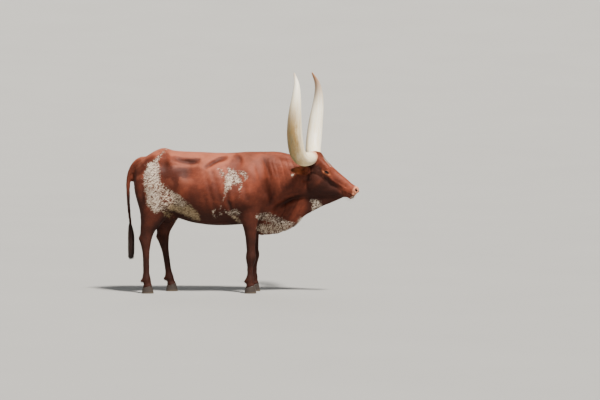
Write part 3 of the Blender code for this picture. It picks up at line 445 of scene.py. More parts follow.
@dataclass(frozen=True)
class Swell:
    """A soft raise, or a dent where rise is below 0, in head or body measures.

    Its height falls off as exp(-(a^2 + b^2 + c^2)), with a, b and c the distances along the
    three axes in units of its radii.
    """

    centre: tuple[float, float, float]
    radii: tuple[float, float, float]
    rise: float
    side: Side = Side.BOTH

    def height(self, places: Array) -> Array:
        """The raise, on the swell's side or on both.

        Args:
            places: places in the swell's measures.

        Returns:
            The height at each place, in metres.
        """
        folded = places.copy()
        if self.side is Side.BOTH:
            folded[:, 1] = np.abs(folded[:, 1])
        else:
            folded[:, 1] = folded[:, 1] * self.side.value
        away = (folded - self.centre) / self.radii
        return self.rise * np.exp(-(away**2).sum(1))


@dataclass(frozen=True)
class Crease:
    """A line pressed into the skin, with a low roll of skin along each edge.

    Across the line the height is -depth * exp(-d^2), with d the distance in widths, and
    0.25 * depth * exp(-(d - 2.2)^2) beside it, and it fades out towards both ends.
    """

    path: tuple[tuple[float, float], ...]
    depth: float
    width: float
    side: Side = Side.BOTH

    def height(self, places: Array) -> Array:
        """The height of the line and its rolls.

        Args:
            places: places whose second number is how far left of the middle they are.

        Returns:
            The height at each place, in metres.
        """
        away, share = path_distance(places[:, (0, 2)], self.path)
        d = away / self.width
        profile = 0.25 * np.exp(-((d - 2.2) ** 2)) - np.exp(-(d**2))
        fade = np.sqrt(np.clip(np.sin(math.pi * np.clip(share, 0.03, 0.97)), 0.0, 1.0))
        here = places[:, 1] * self.side.value > 0.0 if self.side.value else places[:, 1] != 0.0
        return self.depth * profile * fade * here


HEAD_SWELLS = (
    Swell((0.15, 0.085, -0.046), (0.034, 0.04, 0.014), 0.004),
    Swell((0.115, 0.09, -0.108), (0.034, 0.05, 0.028), -0.009),
    Swell((0.232, 0.085, -0.112), (0.022, 0.04, 0.014), -0.003),
    Swell((0.33, 0.06, -0.112), (0.085, 0.045, 0.02), -0.006),
    Swell((0.2, 0.06, -0.02), (0.06, 0.03, 0.03), -0.003),
    Swell((0.46, 0.06, -0.088), (0.035, 0.04, 0.01), 0.003),
    Swell((0.452, 0.05, -0.112), (0.034, 0.04, 0.009), 0.003),
    Swell((0.4, 0.05, -0.045), (0.02, 0.035, 0.028), -0.004),
    Swell((0.2, 0.095, -0.19), (0.016, 0.06, 0.075), 0.003),
    Swell((0.11, 0.095, -0.215), (0.02, 0.06, 0.07), -0.003),
)
HEAD_CREASES = (
    Crease(((0.14, -0.035), (0.175, -0.026), (0.215, -0.04)), 0.0022, 0.004),
    Crease(((0.132, -0.052), (0.165, -0.042), (0.205, -0.05)), 0.0024, 0.004),
    Crease(((0.21, -0.114), (0.24, -0.12), (0.268, -0.118)), 0.0024, 0.0045),
    Crease(((0.185, -0.126), (0.222, -0.134), (0.258, -0.132)), 0.0018, 0.0045),
    Crease(((0.255, -0.104), (0.32, -0.088), (0.39, -0.074), (0.45, -0.062)), -0.003, 0.008),
    Crease(((0.425, -0.062), (0.414, -0.08), (0.41, -0.098)), 0.0018, 0.005),
    Crease(((0.405, -0.062), (0.392, -0.082), (0.39, -0.104)), 0.0016, 0.005),
    Crease(((0.386, -0.07), (0.372, -0.088), (0.37, -0.11)), 0.0012, 0.005),
    Crease(((0.44, -0.02), (0.43, -0.036), (0.428, -0.052)), 0.0018, 0.005),
    Crease(((0.095, -0.06), (0.09, -0.11), (0.105, -0.15)), 0.0018, 0.006),
    Crease(((0.3, -0.07), (0.345, -0.08), (0.36, -0.11), (0.352, -0.15)), -0.0012, 0.004),
)
BODY_CREASES = (
    Crease(((-0.62, 1.238), (-0.54, 1.22), (-0.47, 1.212), (-0.4, 1.222)), 0.014, 0.02),
    Crease(((-0.32, 1.165), (-0.27, 1.2), (-0.21, 1.228), (-0.15, 1.24)), 0.012, 0.019),
    Crease(((-0.046, 1.268), (-0.024, 1.236), (-0.01, 1.19)), 0.006, 0.02),
    Crease(((0.196, 1.24), (0.218, 1.19), (0.24, 1.13), (0.262, 1.06)), 0.008, 0.014),
    Crease(((0.262, 1.215), (0.28, 1.15), (0.3, 1.08)), 0.005, 0.011),
    Crease(((0.225, 1.235), (0.244, 1.19), (0.262, 1.13)), 0.004, 0.009),
    Crease(((0.13, 1.18), (0.16, 1.09), (0.165, 1.0)), 0.005, 0.02),
    Crease(((0.281, 0.772), (0.38, 0.822), (0.471, 0.868), (0.6, 0.893)), 0.009, 0.018),
    Crease(((-0.48, 0.79), (-0.56, 0.77), (-0.625, 0.8)), 0.007, 0.014),
    Crease(((-0.5, 0.745), (-0.57, 0.722), (-0.63, 0.74)), 0.005, 0.012),
    Crease(((-0.13, 0.87), (-0.105, 0.8), (-0.085, 0.73)), 0.006, 0.016),
    Crease(((0.3, 0.935), (0.268, 0.88), (0.255, 0.8)), 0.007, 0.016),
    Crease(((0.02, 1.01), (0.03, 0.92), (0.06, 0.85)), 0.005, 0.022),
    Crease(((-0.47, 0.66), (-0.25, 0.64), (-0.08, 0.655)), -0.003, 0.01),
    Crease(((-0.64, 1.12), (-0.6, 1.01), (-0.62, 0.9)), 0.005, 0.03),
    Crease(((-0.905, 1.02), (-0.91, 0.9), (-0.895, 0.79)), 0.006, 0.018),
)
BODY_SWELLS = (
    Swell((-0.7, 0.2, 1.17), (0.045, 0.14, 0.11), -0.012),
    Swell((-0.5, 0.24, 1.12), (0.11, 0.14, 0.07), -0.008),
    Swell((-0.845, 0.16, 1.2), (0.06, 0.1, 0.07), -0.006),
    Swell((-0.06, 0.2, 1.13), (0.05, 0.14, 0.14), -0.007),
    Swell((0.2, 0.2, 0.985), (0.04, 0.14, 0.06), -0.007),
    Swell((-0.79, 0.2, 0.56), (0.03, 0.12, 0.07), -0.005),
    Swell((-0.7, 0.2, 0.64), (0.05, 0.12, 0.06), -0.005),
    Swell((0.118, 0.15, 0.44), (0.02, 0.1, 0.03), -0.004),
    Swell((0.04, 0.15, 0.4), (0.02, 0.1, 0.03), -0.003),
)


# ---------------------------------------------------------------- markings


@dataclass(frozen=True)
class Patch:
    """A pale patch of coat: every place within reach of a line in the cow's side view.

    Each point of the line holds x, z and the patch's half-width there. yellow says how much
    grazing and mud have stained the patch, and lace how far in from its edge red shows through,
    both from 0 to 1.
    """

    line: tuple[tuple[float, float, float], ...]
    side: Side = Side.RIGHT
    yellow: float = 0.15
    lace: float = 0.6

    def depth(self, x: Array, left: Array, z: Array) -> Array:
        """How far inside the patch's edge places are.

        Args:
            x: how far forward each place is.
            left: how far to the cow's left.
            z: how high.

        Returns:
            The distance in metres, below 0 outside the patch.
        """
        line = np.asarray(self.line, float)
        best = np.full(len(x), -1.0)
        pairs = list(zip(line, line[1:])) or [(line[0], line[0])]
        for a, b in pairs:
            way = b[:2] - a[:2]
            t = ((x - a[0]) * way[0] + (z - a[1]) * way[1]) / max(way @ way, 1e-9)
            t = np.clip(t, 0.0, 1.0)
            away = np.hypot(x - a[0] - t * way[0], z - a[1] - t * way[1])
            best = np.maximum(best, a[2] + t * (b[2] - a[2]) - away)
        if self.side.value:
            best = np.where(left * self.side.value > 0.0, best, -1.0)
        return best


PATCHES = (
    Patch(((-0.683, 1.344, 0.009), (-0.72, 1.3, 0.012), (-0.765, 1.249, 0.017),
           (-0.793, 1.212, 0.028)), lace=1.0),
    Patch(((-0.793, 1.212, 0.028), (-0.815, 1.153, 0.064), (-0.826, 1.08, 0.08),
           (-0.82, 1.007, 0.078), (-0.811, 0.916, 0.07), (-0.802, 0.844, 0.074),
           (-0.783, 0.789, 0.05)), lace=0.72),
    Patch(((-0.74, 0.975, 0.045), (-0.705, 0.93, 0.055), (-0.683, 0.862, 0.055),
           (-0.72, 0.789, 0.035)), yellow=0.3, lace=0.95),
    Patch(((-0.655, 0.935, 0.03), (-0.6, 0.865, 0.055), (-0.55, 0.815, 0.055)),
          yellow=0.35, lace=0.8),
    Patch(((-0.647, 0.8, 0.04), (-0.51, 0.775, 0.064), (-0.437, 0.716, 0.05),
           (-0.395, 0.68, 0.018)), yellow=0.85, lace=0.62),
    Patch(((-0.118, 1.14, 0.02), (-0.088, 1.095, 0.048), (-0.058, 1.04, 0.042)), lace=0.85),
    Patch(((-0.11, 1.06, 0.048), (-0.125, 0.99, 0.034), (-0.146, 0.93, 0.01)), lace=0.7),
    Patch(((-0.012, 1.115, 0.02), (0.028, 1.1, 0.024), (0.032, 1.055, 0.018)), lace=0.95),
    Patch(((-0.008, 1.06, 0.016), (-0.014, 0.99, 0.009), (-0.021, 0.89, 0.004)), lace=0.7),
    Patch(((-0.205, 1.14, 0.014), (-0.165, 1.09, 0.02)), lace=1.0),
    Patch(((-0.15, 0.905, 0.004), (-0.172, 0.86, 0.003), (-0.195, 0.79, 0.003)), lace=0.4),
    Patch(((-0.25, 0.774, 0.009), (-0.26, 0.738, 0.012), (-0.247, 0.708, 0.008)), lace=0.5),
    Patch(((-0.196, 0.736, 0.015),), lace=0.6),
    Patch(((-0.148, 0.764, 0.014), (-0.1, 0.736, 0.024), (-0.058, 0.76, 0.02),
           (-0.03, 0.736, 0.022)), lace=0.8),
    Patch(((-0.085, 0.725, 0.016), (-0.03, 0.662, 0.022)), yellow=0.7, lace=0.6),
    Patch(((0.158, 0.705, 0.032), (0.23, 0.704, 0.046), (0.3, 0.668, 0.046),
           (0.4, 0.64, 0.032), (0.492, 0.626, 0.014)), Side.BOTH, lace=0.92),
    Patch(((0.17, 0.6, 0.038), (0.25, 0.594, 0.042), (0.34, 0.604, 0.034),
           (0.44, 0.622, 0.016)), Side.BOTH, yellow=0.4, lace=0.65),
    Patch(((0.642, 0.848, 0.022), (0.688, 0.826, 0.034), (0.708, 0.8, 0.028)), lace=0.7),
    Patch(((0.67, 0.815, 0.026), (0.65, 0.768, 0.018)), lace=0.7),
    Patch(((0.462, 1.092, 0.014),), lace=0.3),
    Patch(((0.19, 0.556, 0.02), (0.328, 0.56, 0.03), (0.4, 0.582, 0.028),
           (0.455, 0.606, 0.02), (0.49, 0.632, 0.012)), Side.BOTH, lace=0.8),
    Patch(((0.522, 0.656, 0.02), (0.545, 0.682, 0.018)), Side.BOTH, lace=0.4),
    Patch(((-0.702, 0.748, 0.022), (-0.668, 0.714, 0.026)), yellow=1.0, lace=0.85),
    Patch(((-0.6, 0.63, 0.034), (-0.47, 0.62, 0.034), (-0.38, 0.615, 0.016)),
          Side.BOTH, 0.7, 0.7),
    Patch(((-0.7, 1.325, 0.006), (-0.76, 1.24, 0.016), (-0.8, 1.15, 0.055),
           (-0.8, 1.04, 0.062), (-0.83, 0.93, 0.048)), Side.LEFT, 0.1, 0.7),
    Patch(((-0.79, 1.02, 0.05), (-0.72, 0.92, 0.066), (-0.6, 0.82, 0.055),
           (-0.48, 0.73, 0.045)), Side.LEFT, 0.4, 0.8),
    Patch(((-0.06, 1.09, 0.036), (-0.095, 1.01, 0.03)), Side.LEFT, 0.1, 0.9),
    Patch(((-0.24, 0.76, 0.02), (-0.14, 0.73, 0.03), (-0.06, 0.7, 0.02)), Side.LEFT,
          0.3, 0.8),
)
# Pale marks of the face in the head's axes: where each starts and ends, and its half-width.
FACE_PATCHES = (
    ((0.078, -0.006, -0.018), (0.12, -0.014, -0.02), 0.022),
    ((0.12, -0.014, -0.02), (0.16, -0.03, -0.02), 0.015),
    ((0.508, -0.018, -0.086), (0.516, 0.0, -0.086), 0.02),
)
MARK_REACH = 0.05


# ---------------------------------------------------------------- materials


def linear(red: int, green: int, blue: int) -> tuple[float, float, float, float]:
    """A screen colour of 0 to 255 as the linear colour that shaders take, with full cover."""
    shares = (np.array([red, green, blue]) / 255.0 + 0.055) / 1.055
    return (*(float(v) for v in shares**2.4), 1.0)


class NodeTree:
    """A material's nodes, added and linked by short calls.

    A value given to a call is either a socket, which is linked, or a number or colour.
    """

    def __init__(self, name: str, roughness: float, specular: float = 0.5) -> None:
        """Starts a material with its shader's plain settings.

        Args:
            name: the material's name.
            roughness: the shader's roughness.
            specular: the shader's specular level.
        """
        self.material = bpy.data.materials.new(name)
        self.material.use_nodes = True
        self.nodes = self.material.node_tree.nodes
        self.links = self.material.node_tree.links
        self.shader = self.nodes["Principled BSDF"]
        self.shader.inputs["Roughness"].default_value = roughness
        self.shader.inputs["Specular IOR Level"].default_value = specular

    def add(self, kind: str, inputs: dict, **settings: object) -> Node:
        """Adds a node.

        Args:
            kind: the node's type name, without its ShaderNode start.
            inputs: values or sockets by input name or number.
            settings: the node's own settings.

        Returns:
            The node.
        """
        node = self.nodes.new("ShaderNode" + kind)
        for key, value in settings.items():
            setattr(node, key, value)
        for key, value in inputs.items():
            if isinstance(value, NodeSocket):
                self.links.new(value, node.inputs[key])
            else:
                node.inputs[key].default_value = value
        return node

    def value(self, name: str) -> NodeSocket:
        """The number stored on the mesh under a name."""
        return self.add("Attribute", {}, attribute_name=name).outputs["Fac"]

    def place(self, name: str) -> NodeSocket:
        """The vector stored on the mesh under a name."""
        return self.add("Attribute", {}, attribute_name=name).outputs["Vector"]

    def noise(
        self, place: NodeSocket, scale: float, detail: float = 3.0, rough: float = 0.55
    ) -> NodeSocket:
        """Soft noise from 0 to 1 at a place."""
        values = {"Vector": place, "Scale": scale, "Detail": detail, "Roughness": rough}
        return self.add("TexNoise", values).outputs["Fac"]

    def grain(
        self, place: NodeSocket, sizes: tuple, detail: float = 3.0, rough: float = 0.55
    ) -> NodeSocket:
        """Noise drawn out along the axes whose scale in sizes is small."""
        drawn = self.add("Mapping", {"Vector": place, "Scale": sizes}).outputs["Vector"]
        return self.noise(drawn, 1.0, detail, rough)

    def walls(self, place: NodeSocket, scale: float) -> NodeSocket:
        """How far a place is from the nearest wall between the cells of a Voronoi pattern."""
        cells = {"Vector": place, "Scale": scale}
        return self.add("TexVoronoi", cells, feature="DISTANCE_TO_EDGE").outputs["Distance"]

    def maths(self, kind: str, first: object, second: object = 0.0) -> NodeSocket:
        """Two values added, taken away or compared, as kind says."""
        return self.add("Math", {0: first, 1: second}, operation=kind).outputs["Value"]

    def times(self, first: object, second: object) -> NodeSocket:
        """Two values multiplied."""
        return self.maths("MULTIPLY", first, second)

    def ranged(
        self, value: object, low: float, high: float, start: float = 0.0, end: float = 1.0
    ) -> NodeSocket:
        """A value eased from start at low to end at high."""
        values = {0: value, 1: low, 2: high, 3: start, 4: end}
        return self.add("MapRange", values, interpolation_type="SMOOTHSTEP").outputs[0]

    def mixed(self, share: object, first: object, second: object) -> NodeSocket:
        """Two colours mixed by a share."""
        values = {0: share, 6: first, 7: second}
        return self.add("Mix", values, data_type="RGBA").outputs[2]

    def bump(
        self, height: object, strength: float, distance: float, under: object = None
    ) -> NodeSocket:
        """A normal tipped by a height, on top of another normal if one is given."""
        values = {"Height": height, "Strength": strength, "Distance": distance}
        return self.add("Bump", values | ({"Normal": under} if under else {})).outputs["Normal"]

    def finish(self, colour: object, normal: object = None) -> Material:
        """Links the colour and the normal to the shader.

        Args:
            colour: the base colour's socket.
            normal: the normal's socket, or none.

        Returns:
            The material.
        """
        self.links.new(colour, self.shader.inputs["Base Color"])
        if normal is not None:
            self.links.new(normal, self.shader.inputs["Normal"])
        return self.material


@dataclass(frozen=True)
class HideFinish:
    """Red-brown coat with lacy cream patches, painted shade and a painted highlight, and the bare
    flesh of muzzle and ears.

    The skin and every tuft carry the same attributes, read at the tuft's root, so that a
    patch's edge runs through both. mark is the depth inside a patch, and noise makes it lacy.
    """

    name: str
    roughness: float
    fur: bool
    coat: tuple = linear(140, 68, 47)
    deep: tuple = linear(98, 45, 31)
    # The colour of the darker coat and of the painted shade in creases, under the body and on the
    # jaw.
    dark: tuple = linear(33, 17, 13)
    cream: tuple = linear(236, 221, 206)
    yellow: tuple = linear(150, 124, 66)
    flesh: tuple = linear(212, 140, 108)
    # The colour of the painted shade in the nostrils' holes, along the mouth's line and in the
    # creases beside the nostrils.
    wet: tuple = linear(40, 22, 18)
    cup: tuple = linear(204, 122, 82)
    # The colour of the painted highlight on the sunlit top of the back and on the flank.
    painted_highlight: tuple = linear(182, 106, 80)

    def pale_share(self, tree: NodeTree, root: NodeSocket) -> NodeSocket:
        """How pale the coat is: a net of pale lines that thickens towards a patch's middle.

        The net follows the walls between the cells of a bent Voronoi pattern. A place is pale
        where it is nearer to a wall than a width that grows with its depth in the patch.

        Args:
            tree: the material's nodes.
            root: the place that the pattern is read at.

        Returns:
            0 for red coat to 1 for pale.
        """
        bend = tree.add("TexNoise", {"Vector": root, "Scale": 50.0, "Detail": 3.0}).outputs["Color"]
        bend = tree.add("VectorMath", {0: bend, 1: (0.024, 0.024, 0.024)}, operation="MULTIPLY")
        bent = tree.add("VectorMath", {0: root, 1: bend.outputs[0]}, operation="ADD").outputs[0]
        wall = tree.walls(bent, 64.0)
        ragged = tree.maths("SUBTRACT", tree.noise(root, 56.0, 4.0, 0.75), 0.5)
        depth = tree.maths("ADD", tree.value("mark"), tree.times(ragged, 0.085))
        lace = tree.value("lace")
        growth = tree.maths("SUBTRACT", 12.0, tree.times(lace, 9.0))
        width = tree.maths("ADD", 0.04, tree.times(depth, growth))
        widest = tree.maths("SUBTRACT", 0.4, tree.times(lace, 0.27))
        width = tree.maths("MINIMUM", width, widest)
        net = tree.ranged(tree.maths("SUBTRACT", width, wall), -0.02, 0.03)
        holes = tree.ranged(tree.noise(root, 74.0, 3.0, 0.65), 0.485, 0.555)
        holes = tree.maths("SUBTRACT", 1.0, tree.times(holes, lace))
        net = tree.times(net, holes)
        return tree.times(net, tree.ranged(depth, -0.003, 0.003))

    def build(self) -> Material:
        """Builds the material.

        Returns:
            The material.
        """
        tree = NodeTree(self.name, self.roughness, 0.17)
        root = tree.place("root")
        tone = tree.value("tone")
        broad = tree.noise(root, 5.0, 4.0)
        fine = tree.noise(root, 60.0, 3.0, 0.6)
        red = tree.mixed(tree.ranged(broad, 0.36, 0.64), self.deep, self.coat)
        fine = tree.ranged(fine, 0.3, 0.7, 0.0, 0.22)
        shade = tree.maths("ADD", tree.times(tone, 0.2), fine)
        red = tree.mixed(shade, red, self.dark)
        # The dark mark: darker coat, and painted shade in creases, underneath and on the jaw.
        red = tree.mixed(tree.value("dark"), red, self.dark)
        # Painted highlight: the sun mask lightens the top of the back and a spot on the flank, as
        # if sunlit.
        red = tree.mixed(tree.value("sun"), red, self.painted_highlight)
        red = tree.mixed(tree.value("cup"), red, self.cup)
        pale = self.pale_share(tree, root)
        cream = tree.mixed(tree.times(tone, 0.24), self.cream, self.yellow)
        cream = tree.mixed(tree.ranged(broad, 0.35, 0.7, 0.0, 0.18), cream, self.yellow)
        cream = tree.mixed(tree.times(tree.value("yellow"), 0.85), cream, self.yellow)
        fleck = tree.ranged(tree.noise(root, 130.0, 3.0, 0.7), 0.56, 0.62, 0.0, 0.8)
        cream = tree.mixed(fleck, cream, self.deep)
        edge = tree.ranged(tree.value("mark"), 0.0, 0.012, 0.0, 0.55)
        colour = tree.mixed(pale, tree.mixed(edge, red, self.dark), cream)
        if not self.fur:
            mottle = tree.ranged(tree.noise(root, 60.0, 4.0, 0.7), 0.42, 0.66, 0.0, 0.85)
            pink = tree.mixed(mottle, self.flesh, self.coat)
            colour = tree.mixed(tree.value("flesh"), colour, pink)
            # Painted shade in the nostrils, along the mouth's line and in the creases by the nose.
            colour = tree.mixed(tree.value("wet"), colour, self.wet)
        grain = tree.noise(root, 900.0, 2.0, 0.6)
        normal = tree.bump(grain, 0.25, 0.0006)
        if not self.fur:
            skin = tree.maths("SUBTRACT", tree.value("flesh"), tree.value("wet"))
            pebbles = tree.times(tree.ranged(tree.walls(root, 340.0), 0.0, 0.35), skin)
            normal = tree.bump(pebbles, 0.35, 0.0009, normal)
            normal = tree.bump(tree.noise(root, 140.0, 3.0), 0.35, 0.0015, normal)
        return tree.finish(colour, normal)


@dataclass(frozen=True)
class HornFinish:
    """Ivory horn: pink at the skin, then gold, brown and green stains, and tan at the tip."""

    ivory: tuple = linear(250, 246, 232)
    warm: tuple = linear(238, 222, 182)
    gold: tuple = linear(230, 200, 132)
    ochre: tuple = linear(168, 130, 70)
    moss: tuple = linear(98, 100, 68)
    pink: tuple = linear(204, 140, 100)
    tan: tuple = linear(146, 94, 52)
    crack: tuple = linear(104, 86, 60)

    def build(self) -> Material:
        """Builds the material.

        Returns:
            The material.
        """
        tree = NodeTree("horn", 0.45, 0.4)
        flow = tree.place("flow")
        along = tree.value("along")
        streaks = tree.grain(flow, (80.0, 80.0, 5.0), 5.0, 0.65)
        cloud = tree.grain(flow, (16.0, 16.0, 7.0), 5.0, 0.65)
        bands = tree.grain(flow, (14.0, 14.0, 60.0), 4.0, 0.65)
        colour = tree.mixed(tree.ranged(streaks, 0.38, 0.7), self.ivory, self.warm)
        low = tree.times(tree.ranged(along, 0.1, 0.45, 0.45, 0.0), tree.ranged(bands, 0.42, 0.66))
        colour = tree.mixed(low, colour, self.warm)
        gold = tree.times(tree.value("gold"), tree.ranged(streaks, 0.3, 0.66, 0.45, 1.0))
        colour = tree.mixed(gold, colour, self.gold)
        stain = tree.times(tree.value("stain"), tree.ranged(cloud, 0.3, 0.6, 0.2, 1.0))
        colour = tree.mixed(tree.times(stain, 0.9), colour, self.ochre)
        dots = tree.grain(flow, (190.0, 190.0, 70.0), 4.0, 0.7)
        dots = tree.ranged(dots, 0.5, 0.68, 0.0, 0.75)
        colour = tree.mixed(tree.times(stain, dots), colour, self.crack)
        green = tree.times(tree.value("green"), tree.ranged(cloud, 0.62, 0.36, 0.2, 1.0))
        colour = tree.mixed(green, colour, self.moss)
        colour = tree.mixed(tree.ranged(along, 0.03, 0.105, 0.9, 0.0), colour, self.pink)
        tan = tree.times(tree.value("tan"), tree.ranged(cloud, 0.25, 0.5, 0.6, 1.0))
        colour = tree.mixed(tan, colour, self.tan)
        fine = tree.grain(flow, (240.0, 240.0, 9.0), 3.0, 0.7)
        colour = tree.mixed(tree.ranged(fine, 0.6, 0.74, 0.0, 0.4), colour, self.crack)
        speck = tree.noise(flow, 220.0, 3.0, 0.7)
        colour = tree.mixed(tree.ranged(speck, 0.64, 0.72, 0.0, 0.45), colour, self.crack)
        normal = tree.bump(streaks, 0.4, 0.0014)
        normal = tree.bump(bands, 0.35, 0.0014, normal)
        return tree.finish(colour, tree.bump(fine, 0.4, 0.0007, normal))


@dataclass(frozen=True)
class ClawFinish:
    """Dark hoof horn, paler and dusty towards the floor, with fine upright grain."""

    dark: tuple = linear(46, 38, 34)
    pale: tuple = linear(76, 63, 54)
    dust: tuple = linear(112, 98, 80)

    def build(self) -> Material:
        """Builds the material.

        Returns:
            The material.
        """
        tree = NodeTree("claw", 0.5, 0.4)
        root = tree.place("root")
        grain = tree.grain(root, (420.0, 420.0, 30.0), 4.0, 0.65)
        bands = tree.grain(root, (12.0, 12.0, 150.0), 2.0, 0.5)
        colour = tree.mixed(tree.ranged(grain, 0.35, 0.75, 0.0, 0.35), self.dark, self.pale)
        colour = tree.mixed(tree.ranged(bands, 0.45, 0.75, 0.0, 0.3), colour, self.pale)
        low = tree.ranged(tree.value("along"), 0.0, 0.3, 0.8, 0.0)
        colour = tree.mixed(tree.times(low, grain), colour, self.dust)
        normal = tree.bump(grain, 0.3, 0.0005)
        return tree.finish(colour, tree.bump(bands, 0.4, 0.0015, normal))


@dataclass(frozen=True)
class EyeFinish:
    """A dark brown eye with a wide level pupil, under a clear wet layer."""

    iris: tuple = linear(48, 25, 14)
    ring: tuple = linear(20, 12, 9)
    pupil: tuple = linear(6, 6, 9)
    white: tuple = linear(104, 80, 68)

    def build(self) -> Material:
        """Builds the material.

        Returns:
            The material.
        """
        tree = NodeTree("eye", 0.2, 0.15)
        tree.shader.inputs["Coat Weight"].default_value = 0.25
        tree.shader.inputs["Coat Roughness"].default_value = 0.03
        rays = tree.grain(tree.place("flow"), (40.0, 3.0, 1.0), 3.0, 0.6)
        colour = tree.mixed(rays, self.iris, self.ring)
        iris = tree.value("iris")
        colour = tree.mixed(tree.ranged(iris, 0.86, 1.0), colour, self.ring)
        colour = tree.mixed(tree.ranged(iris, 1.04, 1.16), colour, self.white)
        pupil = tree.ranged(tree.value("pupil"), 0.9, 1.05, 1.0, 0.0)
        colour = tree.mixed(pupil, colour, self.pupil)
        return tree.finish(colour)


@dataclass(frozen=True)
class StrandFinish:
    """Long hair: darker at its root or its tip, with a little change from lock to lock."""

    name: str
    root: tuple
    tip: tuple
    roughness: float = 0.5

    def build(self) -> Material:
        """Builds the material.

        Returns:
            The material.
        """
        tree = NodeTree(self.name, self.roughness, 0.4)
        colour = tree.mixed(tree.value("tip"), self.root, self.tip)
        other = tuple(0.45 * share for share in self.root[:3]) + (1.0,)
        colour = tree.mixed(tree.times(tree.value("tone"), 0.6), colour, other)
        grain = tree.noise(tree.place("root"), 700.0, 2.0)
        return tree.finish(colour, tree.bump(grain, 0.3, 0.0006))


@dataclass(frozen=True)
class RimFinish:
    """The dark, wet skin at the edge of the eyelids."""

    skin: tuple = linear(34, 20, 17)
    worn: tuple = linear(66, 38, 30)

    def build(self) -> Material:
        """Builds the material.

        Returns:
            The material.
        """
        tree = NodeTree("lid edge", 0.42, 0.25)
        grain = tree.noise(tree.add("TexCoord", {}).outputs["Object"], 300.0, 3.0)
        return tree.finish(tree.mixed(grain, self.skin, self.worn), tree.bump(grain, 0.3, 0.0005))


@dataclass(frozen=True)
class FloorFinish:
    """A plain pale floor with a very soft change of tone."""

    pale: tuple = linear(158, 157, 154)
    shade: tuple = linear(152, 151, 148)

    def build(self) -> Material:
        """Builds the material.

        Returns:
            The material.
        """
        tree = NodeTree("floor", 0.8, 0.2)
        soft = tree.noise(tree.add("TexCoord", {}).outputs["Object"], 0.6, 3.0)
        return tree.finish(tree.mixed(soft, self.pale, self.shade))


# ---------------------------------------------------------------- the skin


@dataclass(frozen=True)
class Lens:
    """A magnifier of space about a point, so that an even remesh is finer there.

    The distance r from the centre becomes the sum of 1 + (power - 1) * s(r), with s falling
    smoothly from 1 at inner to 0 at outer. Undoing it reads the same sum backwards.
    """

    centre: tuple[float, float, float]
    inner: float
    outer: float
    power: float
    reach: float = 4.0

    def table(self) -> tuple[Array, Array]:
        """The magnifier as a table.

        Returns:
            Distances from the centre, and what each becomes.
        """
        r = np.linspace(0.0, self.reach, 8001)
        slope = 1.0 + (self.power - 1.0) * (1.0 - step(r, self.inner, self.outer))
        grown = np.concatenate([[0.0], np.cumsum((slope[1:] + slope[:-1]) / 2.0 * np.diff(r))])
        return r, grown

    def moved(self, points: Array, source: Array, target: Array) -> Array:
        """Moves points towards or away from the centre.

        Args:
            points: the points.
            source: distances from the centre.
            target: what each of them becomes.

        Returns:
            The moved points.
        """
        away = points - np.array(self.centre)
        r = np.linalg.norm(away, axis=1)
        scale = np.interp(r, source, target) / np.maximum(r, 1e-9)
        return np.array(self.centre) + away * scale[:, None]

    def grow(self, points: Array) -> Array:
        """Points after the magnifier."""
        return self.moved(points, *self.table())

    def shrink(self, points: Array) -> Array:
        """Points with the magnifier undone."""
        return self.moved(points, *reversed(self.table()))


@dataclass(frozen=True)
class EyeSite:
    """Where an eye sits, with the axes of the slit between its lids."""

    side: Side
    radius: float = 0.0205
    slope: float = math.radians(26.0)
    lean: tuple[float, float] = (0.14, 0.1)
    half_length: float = 0.0192
    half_height: float = 0.0096

    def name(self) -> str:
        """The ending of this side's node names."""
        return self.side.name.lower()

    def centre(self) -> Array:
        """The middle of the eyeball."""
        return centre_of("eye_" + self.name())

    def axes(self) -> Array:
        """The eye's own axes.

        Returns:
            Rows: along the slit towards the muzzle, up across it, and out of the head.
        """
        sign = self.side.value
        along = np.array([math.cos(self.slope), 0.0, -math.sin(self.slope)])
        out = unit(np.array([self.lean[0], sign, self.lean[1]]))
        along = unit(along - out * (along @ out))
        up = unit(np.cross(along, out) * sign)
        return np.stack([along, up, out]) @ HEAD.spin().T

    def slit(self, local: Array) -> Array:
        """How far out places are: (a^1.6 + b^1.6)^(1/1.6) in half-sizes, 1 on the slit's edge."""
        a, b = np.abs(local[:, :2] / (self.half_length, self.half_height)).T
        return (a**1.6 + b**1.6) ** (1.0 / 1.6)


